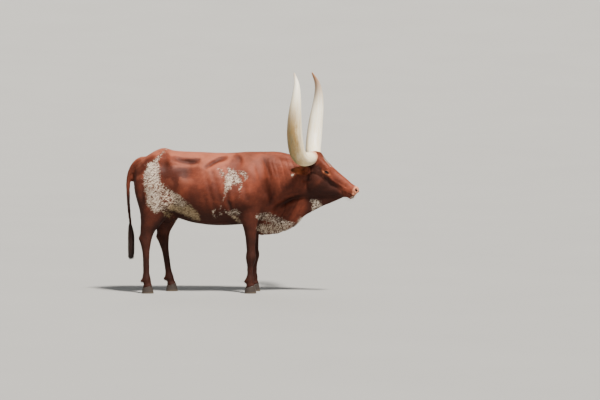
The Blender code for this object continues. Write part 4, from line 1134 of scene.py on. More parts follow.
@dataclass
class Skin:
    """One skin over the trunk, neck, head, ears, legs, udder and tail.

    Folds, pleats and ribs hold a depth and how far apart they are, and the tendon's groove a
    depth and a width.
    """

    nodes: tuple[str, ...] = (
        "torso", "neck", "head", "ear_left", "ear_right", "foreleg_left", "foreleg_right",
        "hindleg_left", "hindleg_right", "udder", "tail",
    )
    fillers: tuple[str, ...] = ("eye_left", "eye_right")
    swell: float = 0.0016
    voxel: float = 0.0098
    triangles: int = 194000
    smoothing: int = 26
    pull: float = 0.5
    push: float = -0.52
    depth: float = 0.0026
    less_on_head: float = 0.0012
    less_on_legs: float = 0.001
    less_on_muzzle: float = 0.0011
    depth_on_ears: float = 0.0006
    lid_gap: float = 0.0003
    lid_thickness: float = 0.0024
    lid_dive: float = 0.0035
    lip_groove: float = 0.003
    mouth_depth: float = 0.004
    lip_roll: float = 0.0018
    nostril_depth: float = 0.0105
    nostril_roll: float = 0.0034
    neck_fold: tuple[float, float] = (0.0026, 0.048)
    dewlap_pleat: tuple[float, float] = (0.005, 0.062)
    rib: tuple[float, float] = (0.0016, 0.072)
    tendon_groove: tuple[float, float] = (0.003, 0.006)
    ear_root_x: float = 0.623
    ear_length: float = 0.182
    darkest: float = 0.86

    def __post_init__(self) -> None:
        """Places the magnifiers at the eyes, the muzzle and the head, and builds the skin."""
        muzzle = HEAD.world([(0.475, 0.0, -0.05)])[0]
        middle = HEAD.world([(0.25, 0.0, -0.12)])[0]
        self.sites = [EyeSite(Side.RIGHT), EyeSite(Side.LEFT)]
        self.lenses = [Lens(tuple(site.centre()), 0.022, 0.055, 1.7) for site in self.sites]
        self.lenses.append(Lens(tuple(muzzle), 0.05, 0.11, 1.9))
        self.lenses.append(Lens(tuple(middle), 0.3, 0.52, 2.1))
        self.piece = self.build()

    def merged(self, name: str) -> Object:
        """A copy of a CAD node with its loose triangles joined, swollen along its normals.

        Args:
            name: the node's name.

        Returns:
            The copy.
        """
        work = bmesh.new()
        work.from_mesh(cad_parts[name].data)
        bmesh.ops.remove_doubles(work, verts=work.verts, dist=1e-5)
        bmesh.ops.recalc_face_normals(work, faces=work.faces)
        mesh = bpy.data.meshes.new("flesh")
        work.to_mesh(mesh)
        work.free()
        move_points(mesh, points_of(mesh) + self.swell * normals_of(mesh))
        return bpy.data.objects.new("flesh", mesh)

    def fused(self) -> Mesh:
        """The copies joined in magnified space, remeshed, and brought back to true size.

        Returns:
            The mesh of the largest closed surface.
        """
        work = bmesh.new()
        copies = [self.merged(name) for name in self.nodes + self.fillers]
        copies += [horn.plug() for horn in HORNS]
        for copy in copies:
            work.from_mesh(copy.data)
            bpy.data.objects.remove(copy)
        mesh = bpy.data.meshes.new("skin")
        work.to_mesh(mesh)
        work.free()
        points = points_of(mesh)
        for lens in self.lenses:
            points = lens.grow(points)
        move_points(mesh, points)
        made = shown(bpy.data.objects.new("skin", mesh))
        remesh = made.modifiers.new("fuse", "REMESH")
        remesh.mode = "VOXEL"
        remesh.voxel_size = self.voxel
        mesh = self.applied(made)
        points = points_of(mesh)
        for lens in reversed(self.lenses):
            points = lens.shrink(points)
        move_points(mesh, points)
        bpy.data.objects.remove(made)
        return self.largest(mesh)

    def applied(self, made: Object) -> Mesh:
        """Works out an object's modifiers.

        Args:
            made: the object.

        Returns:
            The mesh that they give.
        """
        graph = bpy.context.evaluated_depsgraph_get()
        graph.update()
        return bpy.data.meshes.new_from_object(made.evaluated_get(graph))

    def largest(self, mesh: Mesh) -> Mesh:
        """Deletes every closed surface but the largest.

        Each point takes the lowest number among its neighbours until nothing changes, so that
        all the points of one surface end with the same number.

        Args:
            mesh: the mesh to clean.

        Returns:
            The same mesh.
        """
        first, second = edges_of(mesh).T
        label = np.arange(len(mesh.vertices))
        while True:
            low = np.minimum(label[first], label[second])
            fresh = label.copy()
            for ends in (first, second):
                np.minimum.at(fresh, label[ends], low)
                np.minimum.at(fresh, ends, low)
            fresh = fresh[fresh]
            if (fresh == label).all():
                break
            label = fresh
        keep = np.bincount(label).argmax()
        work = bmesh.new()
        work.from_mesh(mesh)
        work.verts.ensure_lookup_table()
        loose = [work.verts[int(k)] for k in np.flatnonzero(label != keep)]
        bmesh.ops.delete(work, geom=loose, context="VERTS")
        work.to_mesh(mesh)
        work.free()
        return mesh

    def relaxed(self, mesh: Mesh, rounds: int, share: Array) -> None:
        """Smooths a mesh: each round pulls points to their neighbours' mean and pushes back.

        Args:
            mesh: the mesh.
            rounds: how many rounds.
            share: how much each point takes part, from 0 to 1.
        """
        first, second = edges_of(mesh).T
        points = points_of(mesh)
        n = len(points)
        count = np.bincount(first, minlength=n) + np.bincount(second, minlength=n)
        for _ in range(rounds):
            for amount in (self.pull, self.push):
                total = np.stack([
                    np.bincount(first, ends[second], n) + np.bincount(second, ends[first], n)
                    for ends in points.T
                ], axis=1)
                points = points + amount * share[:, None] * (total / count[:, None] - points)
        move_points(mesh, points)

    def coat_depth(self, points: Array) -> Array:
        """How deep the coat is: less on the face, ears, muzzle and legs.

        Args:
            points: the skin's points.

        Returns:
            The depth at each point, in metres.
        """
        local = HEAD.local(points)
        head = step(local[:, 0], -0.1, 0.06) * step(points[:, 0], 0.42, 0.52)
        depth = self.depth - self.less_on_head * head
        depth = depth - self.less_on_legs * step(points[:, 2], 0.55, 0.3)
        depth = np.where(ear_share(points) > 0.5, self.depth_on_ears, depth)
        return depth - self.less_on_muzzle * step(local[:, 0], 0.4, 0.46) * head

    def lids(self, points: Array, site: EyeSite) -> Array:
        """Carries the skin round an eye onto a ball, open at the slit, with folded lids.

        Inside the slit the skin dives behind the eyeball. Outside, it lies on a ball a little
        larger than the eye, and folds run round the slit as a fading wave.

        Args:
            points: the skin's points.
            site: the eye.

        Returns:
            The moved points.
        """
        local = (points - site.centre()) @ site.axes().T
        away = np.linalg.norm(local, axis=1)
        slit = site.slit(local)
        upper = step(local[:, 1], -0.002, 0.006)
        lid = site.radius + self.lid_gap + self.lid_thickness * step(slit, 0.98, 1.16)
        lid += 0.0016 * upper * bell(slit, 1.28, 0.16)
        lid += 0.0014 * (1.0 - upper) * bell(slit, 1.95, 0.22)
        lid -= 0.0018 * bell(slit, 1.62, 0.13)
        behind = site.radius - self.lid_dive * step(slit, 1.0, 0.86)
        target = np.where(slit < 1.0, behind, lid)
        front = step(local[:, 2], 0.0, 0.008)
        share = front * step(slit, 2.3, 1.35) * step(away, 0.046, 0.034)
        scale = 1.0 + share * (target / np.maximum(away, 1e-6) - 1.0)
        return site.centre() + (local * scale[:, None]) @ site.axes()

    def face_height(self, local: Array) -> Array:
        """How far the skin of the face is raised or pressed in, in metres.

        Args:
            local: places in the head's own axes.

        Returns:
            The height at each place.
        """
        height = sum(swell.height(local) for swell in HEAD_SWELLS)
        groove = step(local[:, 0], 0.485, 0.505) * step(local[:, 2], 0.004, -0.012)
        height = height - self.lip_groove * groove * bell(local[:, 1], 0.0, 0.0022)
        height = height + sum(crease.height(local) for crease in HEAD_CREASES)
        rise, along = mouth_place(local)
        ahead = step(along, -0.006, 0.02)
        height = height - ahead * self.mouth_depth * bell(rise, 0.0, 0.0022)
        height = height + ahead * self.lip_roll * bell(np.abs(rise), 0.0085, 0.005)
        for sign in (-1.0, 1.0):
            away = nostril_place(local, sign)
            height += self.nostril_roll * bell(away, 1.35, 0.3)
            height -= self.nostril_depth * step(away, 1.05, 0.4)
        return height

    def sculpt(self, mesh: Mesh) -> None:
        """Presses folds, veins, lips, nostrils and lids into the smooth skin.

        Args:
            mesh: the skin's mesh.
        """
        points, normals = points_of(mesh), normals_of(mesh)
        local = HEAD.local(points)
        body = points - SHIFT
        on_head = step(points[:, 0], 0.5, 0.6) * step(local[:, 0], -0.06, 0.02)
        height = on_head * self.face_height(local)
        rest = (1.0 - on_head) * (1.0 - ear_share(points))
        height += rest * sum(form.height(body) for form in BODY_CREASES + BODY_SWELLS)
        height += rest * self.wrinkles(body)
        height += 0.001 * ripples(points, 0.11, 4) * rest
        set_values(mesh, "fold", np.clip(-height / 0.01, -0.4, 1.0))
        points = points + normals * height[:, None]
        for site in self.sites:
            points = self.lids(points, site)
        move_points(mesh, points)

    def wrinkles(self, body: Array) -> Array:
        """Fine folds of loose skin on the neck and dewlap, ribs, and tendons on the legs.

        Folds are waves across a direction, bent by soft noise: the crest of a wave is narrow
        and its trough wide, as 1 - |sin|.

        Args:
            body: places in the cow's own measures.

        Returns:
            The height at each place.
        """
        x, _, z = body.T
        bend = ripples(body, 0.3, 21, 2)
        neck = band(x, 0.24, 0.34, 0.56, 0.66) * band(z, 0.8, 0.92, 1.18, 1.27)
        depth, apart = self.neck_fold
        waves = 1.0 - np.abs(np.sin(math.pi * (x * 0.96 + z * 0.28 + 0.03 * bend) / apart))
        height = -depth * neck * waves**3
        low = 0.62 + 0.55 * np.clip(x - 0.1, 0.0, 1.0)
        dewlap = step(z, low + 0.1, low) * band(x, 0.16, 0.24, 0.8, 0.92)
        depth, apart = self.dewlap_pleat
        pleats = 1.0 - np.abs(np.sin(math.pi * (x * 0.9 - z * 0.45 + 0.035 * bend) / apart))
        height -= depth * dewlap * pleats**2
        ribs = band(x, -0.4, -0.3, -0.1, -0.02) * band(z, 0.72, 0.82, 1.08, 1.2)
        depth, apart = self.rib
        height += depth * ribs * np.sin(TURN * (x + 0.28 * (z - 1.0) + 0.004 * bend) / apart)
        leg = band(z, 0.14, 0.18, 0.32, 0.36)
        depth, width = self.tendon_groove
        return height - depth * leg * bell(tendon_offset(body), 0.0, width)

    def masks(self, mesh: Mesh) -> None:
        """Stores on the skin what its material and the tufts read: patches, tones, flesh, painted
        shade and a painted highlight.

        Args:
            mesh: the skin's mesh.
        """
        points = points_of(mesh)
        body = points - SHIFT
        local = HEAD.local(points)
        x, _, z = body.T
        on_head = step(x, 0.56, 0.62) * step(local[:, 0], -0.02, 0.03)
        mark, yellow, lace = patch_depth(body, local, on_head)
        ears = ear_share(points)
        along_ear = (self.ear_root_x - x) / self.ear_length
        rim = bell(along_ear, 0.58, 0.2) * step(z, 1.185, 1.14)
        lobe = 0.25 * bell(along_ear, 0.16, 0.1)
        facing = ear_facing(mesh, points)
        cup = ears * facing * np.clip(0.06 + rim + lobe, 0.0, 1.0) * step(along_ear, 0.0, 0.3)
        rise, along = mouth_place(local)
        nose = np.minimum(nostril_place(local, -1.0), nostril_place(local, 1.0))
        soft = local[:, 0] + 0.006 * ripples(points, 0.035, 9)
        muzzle = step(soft + 0.45 * (local[:, 2] + 0.03), 0.462, 0.484) * step(rise, -0.004, 0.006)
        flesh = on_head * np.maximum(muzzle, step(nose, 2.2, 1.6))
        # Painted shade: the mouth's line, the nostrils' holes and the creases beside them are
        # darkened.
        mouth = 0.5 * step(along, 0.0, 0.02) * step(np.abs(rise), 0.0026, 0.0008)
        fold = read(mesh.attributes["fold"].data, "value")
        wet = np.maximum(step(nose, 1.1, 0.85), mouth)
        wet = on_head * np.maximum(wet, step(nose, 2.6, 2.2) * step(fold, 0.1, 0.45))
        # dark: darker coat on the legs, buttock, tail and pasterns, with painted shade in creases,
        # under the belly, on the throat and jaw, and on skin that faces down.
        legs = 0.5 * step(z, 0.66, 0.2)
        # Painted shade on the throat, on a coat that is darker there too.
        throat_dark_and_shade = 0.3 * step(x, 0.22, 0.44) * step(z, 1.2, 0.95) * (1.0 - on_head)
        # Painted shade under the belly and the brisket.
        belly_shade = 0.68 * step(z, 1.04, 0.7) * step(x, 0.3, 0.1)
        # Mostly painted shade on the cheek and jaw below the facial crest.
        jaw_shade = step(local[:, 2] + 0.1 * local[:, 0], -0.055, -0.115) * (1.0 - 0.7 * ears)
        jaw_shade = 0.78 * on_head * jaw_shade
        buttock = 0.45 * step(x, -0.86, -0.95)
        tail = 0.3 * step(x, -0.93, -1.0) * step(z, 0.95, 0.8)
        pastern = 0.45 * step(z, 0.1, 0.06)
        # 0.6 * fold: painted shade in creases and hollows.
        dark = legs + 0.6 * fold + throat_dark_and_shade + belly_shade + jaw_shade + buttock + tail + pastern
        tan = np.zeros(len(points))
        for site in self.sites:
            near = (points - site.centre()) @ site.axes().T
            here = np.linalg.norm(near, axis=1) < 0.06
            slit = site.slit(near)
            dark = np.maximum(dark, 0.85 * here * step(slit, 1.34, 1.1))
            under = bell(slit, 2.0, 0.5) * step(near[:, 1], 0.002, -0.008)
            over = 0.6 * bell(slit, 1.6, 0.22) * step(near[:, 1], 0.0, 0.006)
            tan = np.maximum(tan, 0.62 * here * (under + over))
        hollow = bell(along_ear, 0.38, 0.2)
        shaded = 0.2 + 0.32 * hollow * facing + 0.18 * step(along_ear, 0.24, 0.04)
        dark = np.maximum(dark, shaded * ears * (1.0 - cup))
        normals = normals_of(mesh)
        # Painted shade on skin that faces down, off the head.
        under = step(normals[:, 2], -0.2, -0.9) * (1.0 - on_head)
        dark = np.clip(dark + 0.25 * under, 0.0, self.darkest)
        # Painted highlight: skin facing up along the back (less towards the loin and the shoulder)
        # and a pool of light on the flank.
        back = step(normals[:, 2], 0.05, 0.95) * step(z, 0.95, 1.2) * step(fold, 0.25, -0.05)
        back = back * (1.0 - 0.6 * step(x, -0.2, 0.05)) * (1.0 - 0.5 * step(x, 0.15, 0.35))
        flank = 0.35 * bell(x, -0.56, 0.12) * bell(z, 1.08, 0.09) * (fold < 0.3)
        sun = back + flank
        values = {
            "mark": mark, "yellow": yellow, "cup": np.maximum(cup, tan), "flesh": flesh,
            "wet": wet, "dark": dark, "lace": lace, "sun": 0.8 * sun * (1.0 - dark),
            "tone": np.full(len(points), 0.5), "root": points,
        }
        for name, value in values.items():
            set_values(mesh, name, np.asarray(value, float))

    def build(self) -> Object:
        """Fuses, smooths, draws in, sculpts and dresses the skin.

        Returns:
            The skin's object.
        """
        mesh = self.fused()
        points = points_of(mesh)
        keep = 1.0 - 0.75 * ear_share(points)
        self.relaxed(mesh, self.smoothing, keep)
        points = points_of(mesh)
        inwards = self.swell + self.coat_depth(points)
        move_points(mesh, points - normals_of(mesh) * inwards[:, None])
        self.relaxed(mesh, 2, keep)
        self.sculpt(mesh)
        made = shown(bpy.data.objects.new("skin", mesh))
        mesh.calc_loop_triangles()
        LOG.info("skin has %d triangles before thinning", len(mesh.loop_triangles))
        if len(mesh.loop_triangles) > self.triangles:
            thin = made.modifiers.new("thin", "DECIMATE")
            thin.ratio = self.triangles / len(mesh.loop_triangles)
            made.data = self.applied(made)
            made.modifiers.clear()
        made.data.shade_smooth()
        self.masks(made.data)
        made.data.materials.clear()
        made.data.materials.append(HideFinish("hide", 0.62, False).build())
        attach(made, BODY)
        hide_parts(*self.nodes)
        return made


def mouth_place(local: Array) -> tuple[Array, Array]:
    """Places measured from the line of the mouth.

    Args:
        local: places in the head's own axes.

    Returns:
        How far above the mouth's plane each lies, and how far ahead of its corner.
    """
    corner, front = np.array([0.425, -0.096]), np.array([0.5, -0.069])
    ahead = unit(front - corner)
    away = local[:, (0, 2)] - corner
    return away @ np.array([-ahead[1], ahead[0]]), away @ ahead


def nostril_place(local: Array, sign: float) -> Array:
    """How far places are from a nostril's middle, in its own radii.

    Args:
        local: places in the head's own axes.
        sign: -1 for the right nostril and 1 for the left.

    Returns:
        The distance, 1 at the nostril's edge.
    """
    away = local - np.array([0.492, 0.039 * sign, -0.01])
    along = away @ unit(np.array([0.8, -0.34 * sign, -0.42]))
    width = away @ unit(np.array([0.42, 0.3 * sign, 0.8]))
    rest = ((away**2).sum(1) - along**2 - width**2).clip(0.0)
    comma = 0.0082 * (1.0 + 0.3 * np.clip(along / 0.0175, -1.0, 1.0))
    return np.sqrt((along / 0.0175) ** 2 + (width / comma) ** 2 + rest / 0.022**2)


def tendon_offset(body: Array) -> Array:
    """How far in front of the groove between cannon bone and tendon a place is, on any leg."""
    x = body[:, 0]
    return np.minimum(np.abs(x - 0.062), np.minimum(np.abs(x + 0.893), np.abs(x - 0.096)))


def ear_share(points: Array) -> Array:
    """1 on the ears and 0 elsewhere, easing over their roots.

    Args:
        points: places in the shared frame.

    Returns:
        The share at each place.
    """
    share = np.zeros(len(points))
    for name in ("ear_left", "ear_right"):
        low, high = box_of(name)
        outside = np.maximum(low - points, points - high).max(1)
        share = np.maximum(share, step(outside, 0.004, -0.002))
    return share


def ear_facing(mesh: Mesh, points: Array) -> Array:
    """How much each point of an ear faces out of its cup, from 0 to 1.

    Args:
        mesh: the skin's mesh.
        points: its points.

    Returns:
        The share at each point.
    """
    normals = normals_of(mesh)
    local = HEAD.local(points)
    facing = np.empty(len(points))
    for sign in (-1.0, 1.0):
        opening = np.array([0.78, 0.58 * sign, -0.2])
        opening = unit(HEAD.spin() @ opening)
        here = local[:, 1] * sign > 0.0
        facing[here] = (normals @ opening)[here]
    return step(facing, -0.05, 0.45)


def patch_depth(body: Array, local: Array, on_head: Array) -> tuple[Array, Array, Array]:
    """How deep inside a pale patch each place is, and how stained and laced that patch is.

    Args:
        body: places in the cow's own measures.
        local: the same places in the head's own axes.
        on_head: 1 on the head and 0 elsewhere.

    Returns:
        The depth in metres, held between plus and minus MARK_REACH, the stain and the lace.
    """
    x, y, z = body.T
    best = np.full(len(x), -1.0)
    weight, yellow, lace = (np.full(len(x), 1e-9) for _ in range(3))
    left = np.where(x > 0.45, local[:, 1], y)
    for patch in PATCHES:
        depth = patch.depth(x, left, z)
        near = np.exp(np.clip(depth, -0.2, 0.1) / 0.012)
        weight += near
        yellow += near * patch.yellow
        lace += near * patch.lace
        best = np.maximum(best, depth)
    for start, end, half in FACE_PATCHES:
        start, way = np.array(start), np.array(end) - np.array(start)
        t = np.clip((local - start) @ way / (way @ way), 0.0, 1.0)
        away = np.linalg.norm(local - start - t[:, None] * way, axis=1)
        depth = np.where(on_head > 0.5, half - away, -1.0)
        lace = np.where(depth > best, 0.3 * weight, lace)
        best = np.maximum(best, depth)
    return np.clip(best, -MARK_REACH, MARK_REACH), yellow / weight, lace / weight


# ---------------------------------------------------------------- horns, claws and eyes


@dataclass(frozen=True)
class Horn:
    """One horn: a round tube along a smooth curve, with growth rings near its root.

    The rows hold x, how far to the side, z and the radius, as in the solids. stained says how
    strong the gold, brown and green stains are, and tan_from where along it the tan tip starts.
    """

    side: Side
    rows: tuple[tuple[float, float, float, float], ...] = (
        (0.668, 0.034, 1.254, 0.046), (0.664, 0.06, 1.25, 0.056), (0.645, 0.15, 1.236, 0.061),
        (0.61, 0.255, 1.243, 0.067),
        (0.585, 0.35, 1.3, 0.072), (0.579, 0.43, 1.43, 0.072), (0.585, 0.475, 1.565, 0.066),
        (0.598, 0.5, 1.7, 0.055), (0.607, 0.492, 1.82, 0.04), (0.6, 0.455, 1.925, 0.024),
        (0.565, 0.392, 2.022, 0.006),
    )
    stained: float = 1.0
    tan_from: float = 0.9
    tan_share: float = 0.55
    steps: int = 18
    around: int = 56
    ring_depth: float = 0.002
    ring_spacing: float = 0.026
    wear: float = 0.0006
    plug_gap: float = 0.006

    def name(self) -> str:
        """The name of the CAD node that the horn replaces."""
        return "horn_" + self.side.name.lower()

    def curve(self, steps: int) -> tuple[Array, Array]:
        """The horn's middle line.

        Args:
            steps: how many places each gap between rows becomes.

        Returns:
            The line in the shared frame, and the radius along it.
        """
        rows = np.array([(x, self.side.value * side, z, r) for x, side, z, r in self.rows])
        filled = eased(rows, steps)
        return HEAD.turned(filled[:, :3]) + SHIFT, filled[:, 3]

    def plug(self) -> Object:
        """Closes the skin under the horn with a short, slimmer copy of its root.

        Returns:
            The copy.
        """
        path, radii = self.curve(4)
        path, radii = path[:10], radii[:10] - self.plug_gap
        turn = turns(24)[None, :, None]
        rings = rings_round(path, radii[:, None, None], turn, *frames_along(path)[1:])
        return tube_piece("plug", rings)

    def build(self, finish: Material) -> Object:
        """Builds and dresses the horn.

        A ring at a distance s from the root cuts in by ring_depth * (1 - |sin|)^2 of a wave
        whose length changes softly, fading out a little over half way up.

        Args:
            finish: the horn's material.

        Returns:
            The horn's object.
        """
        path, radii = self.curve(self.steps)
        length = np.concatenate([[0.0], np.cumsum(np.linalg.norm(np.diff(path, axis=0), axis=1))])
        share = length / length[-1]
        s, a = np.meshgrid(length, turns(self.around), indexing="ij")
        circle = np.stack([np.cos(a), np.sin(a), s * 6.0], axis=-1).reshape(-1, 3)
        wobble = ripples(circle, 2.2, 31 + self.side.value).reshape(s.shape)
        grooves = 1.0 - np.abs(np.sin(math.pi * (s / self.ring_spacing + 0.35 * wobble)))
        fade = step(share, 0.62, 0.12)[:, None]
        rough = ripples(circle * (3.0, 3.0, 2.0), 1.0, 7).reshape(s.shape)
        cut = fade * self.ring_depth * grooves**2 + self.wear * (1.0 + rough) * (0.3 + fade)
        reach = np.maximum(radii[:, None] - cut, 0.2 * radii[:, None])
        rings = rings_round(path, reach[..., None], a[..., None], *frames_along(path)[1:])
        made = tube_piece(self.name() + "_horn", rings)
        ends = [[0.0], [1.0]]
        set_values(made.data, "along", np.concatenate([np.repeat(share, self.around), *ends]))
        ways = unit(rings - path[:, None])
        back = ways @ unit(np.array([-0.6, 0.7 * self.side.value, -0.1]))
        under = ways @ unit(np.array([-0.9, 0.2 * self.side.value, -0.3]))
        level = share[:, None]
        gold = (0.25 + 0.55 * step(back, -0.95, 0.55)) * band(level, 0.03, 0.12, 0.5, 0.84)
        worn = {
            "gold": self.stained * gold,
            "stain": self.stained * step(back, -0.3, 0.6) * band(level, 0.14, 0.28, 0.5, 0.8),
            "green": self.stained * step(under, 0.2, 0.85) * band(level, 0.1, 0.2, 0.42, 0.66),
            "tan": self.tan_share * step(level, self.tan_from, 1.0) * np.ones_like(a),
        }
        for name, value in worn.items():
            set_values(made.data, name, np.concatenate([value.ravel(), [0.0, value[-1, 0]]]))
        flow = np.stack([np.cos(a) * 0.1, np.sin(a) * 0.1, s], axis=-1).reshape(-1, 3)
        set_values(made.data, "flow", np.vstack([flow, [0.0, 0.0, 0.0], [0.0, 0.0, length[-1]]]))
        made.data.materials.append(finish)
        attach(made, BODY)
        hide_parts(self.name())
        return made


HORNS = (
    Horn(Side.RIGHT),
    Horn(Side.LEFT, stained=0.45, tan_from=0.66, tan_share=0.95),
)


@dataclass(frozen=True)
class Foot:
    """One cloven foot: an outer and an inner claw with flat soles, over the CAD claws' boxes.

    Seen from above a claw is a half almond. It leans in towards the top, its edges are rounded,
    and growth lines run round it parallel to the hairline.
    """

    pair: Pair
    side: Side
    around: int = 56
    levels: int = 26
    front_height: float = 0.076
    heel_height: float = 0.05
    cleft: float = 0.0035
    front_lean: float = 0.34
    back_lean: float = 0.12
    inset: float = 0.003
    line_count: float = 8.0
    line_depth: float = 0.012

    def name(self, claw: Claw) -> str:
        """The name of the CAD node that a claw replaces."""
        return f"claw_{self.pair.value}_{self.side.name.lower()}_{claw.value}"

    def outline(self) -> Array:
        """The claw seen from above, from -1 to 1 along and 0 to 1 across, as a closed line.

        The outer edge is a sine raised to 0.72, fuller behind, and the inner edge is straight
        with a shallow hollow.

        Returns:
            The line's points.
        """
        outer = self.around * 5 // 8
        a = np.linspace(0.0, math.pi, outer)
        bulge = np.sin(a) ** 0.72 * (1.0 - 0.16 * np.cos(a))
        back = np.linspace(-1.0, 1.0, self.around - outer + 2)[1:-1]
        hollow = 0.05 * (1.0 - back**2)
        return np.vstack([np.stack([np.cos(a), bulge], 1), np.stack([back, hollow], 1)])

    def build(self, claw: Claw, finish: Material) -> Object:
        """Builds and dresses one claw.

        Args:
            claw: which one.
            finish: the claws' material.

        Returns:
            The claw's object.
        """
        boxes = [box_of(self.name(each)) for each in Claw]
        middle_y = (min(b[1, 1] for b in boxes) + max(b[0, 1] for b in boxes)) / 2.0
        box = box_of(self.name(claw))
        sign = 1.0 if box.mean(0)[1] > middle_y else -1.0
        half = (box[1, 0] - box[0, 0]) / 2.0
        width = box[1, 1] - box[0, 1]
        ahead, out = self.outline().T
        share = np.linspace(0.0, 1.0, self.levels)[:, None]
        lean = np.where(ahead > 0.0, self.front_lean, self.back_lean)
        edge = 0.035 * (1.0 - step(share, 0.0, 0.06)) + 0.05 * step(share, 0.95, 1.0)
        x = half * ahead * (1.0 - lean * share) * (1.0 - edge)
        rows = np.stack(np.broadcast_arrays(x / half, out * 2.0, share * 1.6), -1).reshape(-1, 3)
        draw = ripples(rows, 0.9, 40 + len(self.name(claw))).reshape(x.shape)
        lines = np.sin(TURN * (share * self.line_count + 0.3 * draw)) * step(share, 0.0, 0.15)
        wall = (width - self.inset) * out * (1.0 - 0.1 * share - edge)
        y = self.cleft / 2.0 + wall * (1.0 + self.line_depth * lines)
        top = self.heel_height + (self.front_height - self.heel_height) * (ahead + 1.0) / 2.0
        rings = np.stack([box.mean(0)[0] + x, middle_y + sign * y, top * share], axis=-1)
        made = tube_piece(self.name(claw) + "_horn", rings)
        level = np.concatenate([np.repeat(share.ravel(), x.shape[1]), [0.0, 1.0]])
        set_values(made.data, "along", level)
        set_values(made.data, "root", points_of(made.data))
        made.data.materials.append(finish)
        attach(made, BODY)
        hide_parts(self.name(claw))
        return made


@dataclass(frozen=True)
class Eye:
    """An eyeball with a raised clear front, and the dark edge of its lids."""

    site: EyeSite
    inset: float = 0.0007
    iris_angle: float = 0.8
    pupil: tuple[float, float] = (0.0098, 0.0046)
    rim_radius: float = 0.001
    rim_steps: int = 96
    rim_corners: int = 10

    def build_ball(self, finish: Material) -> Object:
        """A ball in rings about the line of sight, whose front bulges by 0.7 mm.

        Args:
            finish: the eye's material.

        Returns:
            The eyeball's object.
        """
        site = self.site
        theta, phi = np.meshgrid(
            np.linspace(0.0, math.pi, 42)[1:-1], turns(64), indexing="ij"
        )
        bulge = 0.0007 * np.exp(-((theta / 0.75) ** 4))
        radius = site.radius - self.inset + bulge
        local = radius[..., None] * np.stack(
            [np.sin(theta) * np.cos(phi), np.sin(theta) * np.sin(phi), np.cos(theta)], axis=-1
        )
        made = tube_piece("eyeball_" + site.name(), site.centre() + local @ site.axes())
        flat = local.reshape(-1, 3)
        iris = np.concatenate([theta.ravel() / self.iris_angle, [0.0, 3.0]])
        wide = np.hypot(flat[:, 0] / self.pupil[0], flat[:, 1] / self.pupil[1])
        pupil = np.concatenate([np.where(flat[:, 2] > 0.0, wide, 9.0), [0.0, 9.0]])
        set_values(made.data, "iris", iris)
        set_values(made.data, "pupil", pupil)
        flow = np.stack([np.cos(phi), np.sin(phi), theta], axis=-1).reshape(-1, 3)
        set_values(made.data, "flow", np.vstack([flow, [0.0, 0.0, 0.0], [0.0, 0.0, 3.0]]))
        made.data.materials.append(finish)
        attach(made, BODY)
        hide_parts("eye_" + site.name())
        return made

    def rim_path(self, grow: float, lift: float, count: int) -> Array:
        """Points round the slit's outline on a ball about the eye, as powers of cos and sin.

        Args:
            grow: how many times the slit's own size the outline is.
            lift: how far outside the eyeball the points lie.
            count: how many points.

        Returns:
            The points in the eye's own axes.
        """
        site = self.site
        a = turns(count)
        x = grow * site.half_length * np.sign(np.cos(a)) * np.abs(np.cos(a)) ** 1.25
        y = grow * site.half_height * np.sign(np.sin(a)) * np.abs(np.sin(a)) ** 1.25
        return np.stack([x, y, np.sqrt((site.radius + lift) ** 2 - x**2 - y**2)], axis=1)

    def build_rim(self, finish: Material) -> Object:
        """A thin closed ring of dark skin along the lids' edge.

        Args:
            finish: the ring's material.

        Returns:
            The ring's object.
        """
        path = self.rim_path(1.0, 0.0006, self.rim_steps)
        way = unit(np.roll(path, -1, 0) - np.roll(path, 1, 0))
        out = unit(path)
        turn = turns(self.rim_corners)[None, :, None]
        rings = rings_round(path, self.rim_radius, turn, np.cross(way, out), out)
        points = self.site.centre() + rings.reshape(-1, 3) @ self.site.axes()
        quads = ring_quads(self.rim_steps, self.rim_corners, closed=True)
        first, second, _, fourth = (points[quads[:, k]] for k in range(4))
        spine = self.site.centre() + path @ self.site.axes()
        outwards = first - np.repeat(spine, self.rim_corners, 0)
        if (np.cross(second - first, fourth - first) * outwards).sum() < 0.0:
            quads = quads[:, ::-1]
        made = mesh_piece("lid_edge_" + self.site.name(), points, quads)
        made.data.materials.append(finish)
        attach(made, BODY)
        return made


# ---------------------------------------------------------------- hair


LOCK_ON_CHART = 0.003


@dataclass
class Roots:
    """Places on the skin that hair grows from, with what the skin knows there."""

    points: Array
    normals: Array
    values: dict[str, Array]

    def chosen(self, index: Array) -> "Roots":
        """The roots with those numbers."""
        values = {name: value[index] for name, value in self.values.items()}
        return Roots(self.points[index], self.normals[index], values)


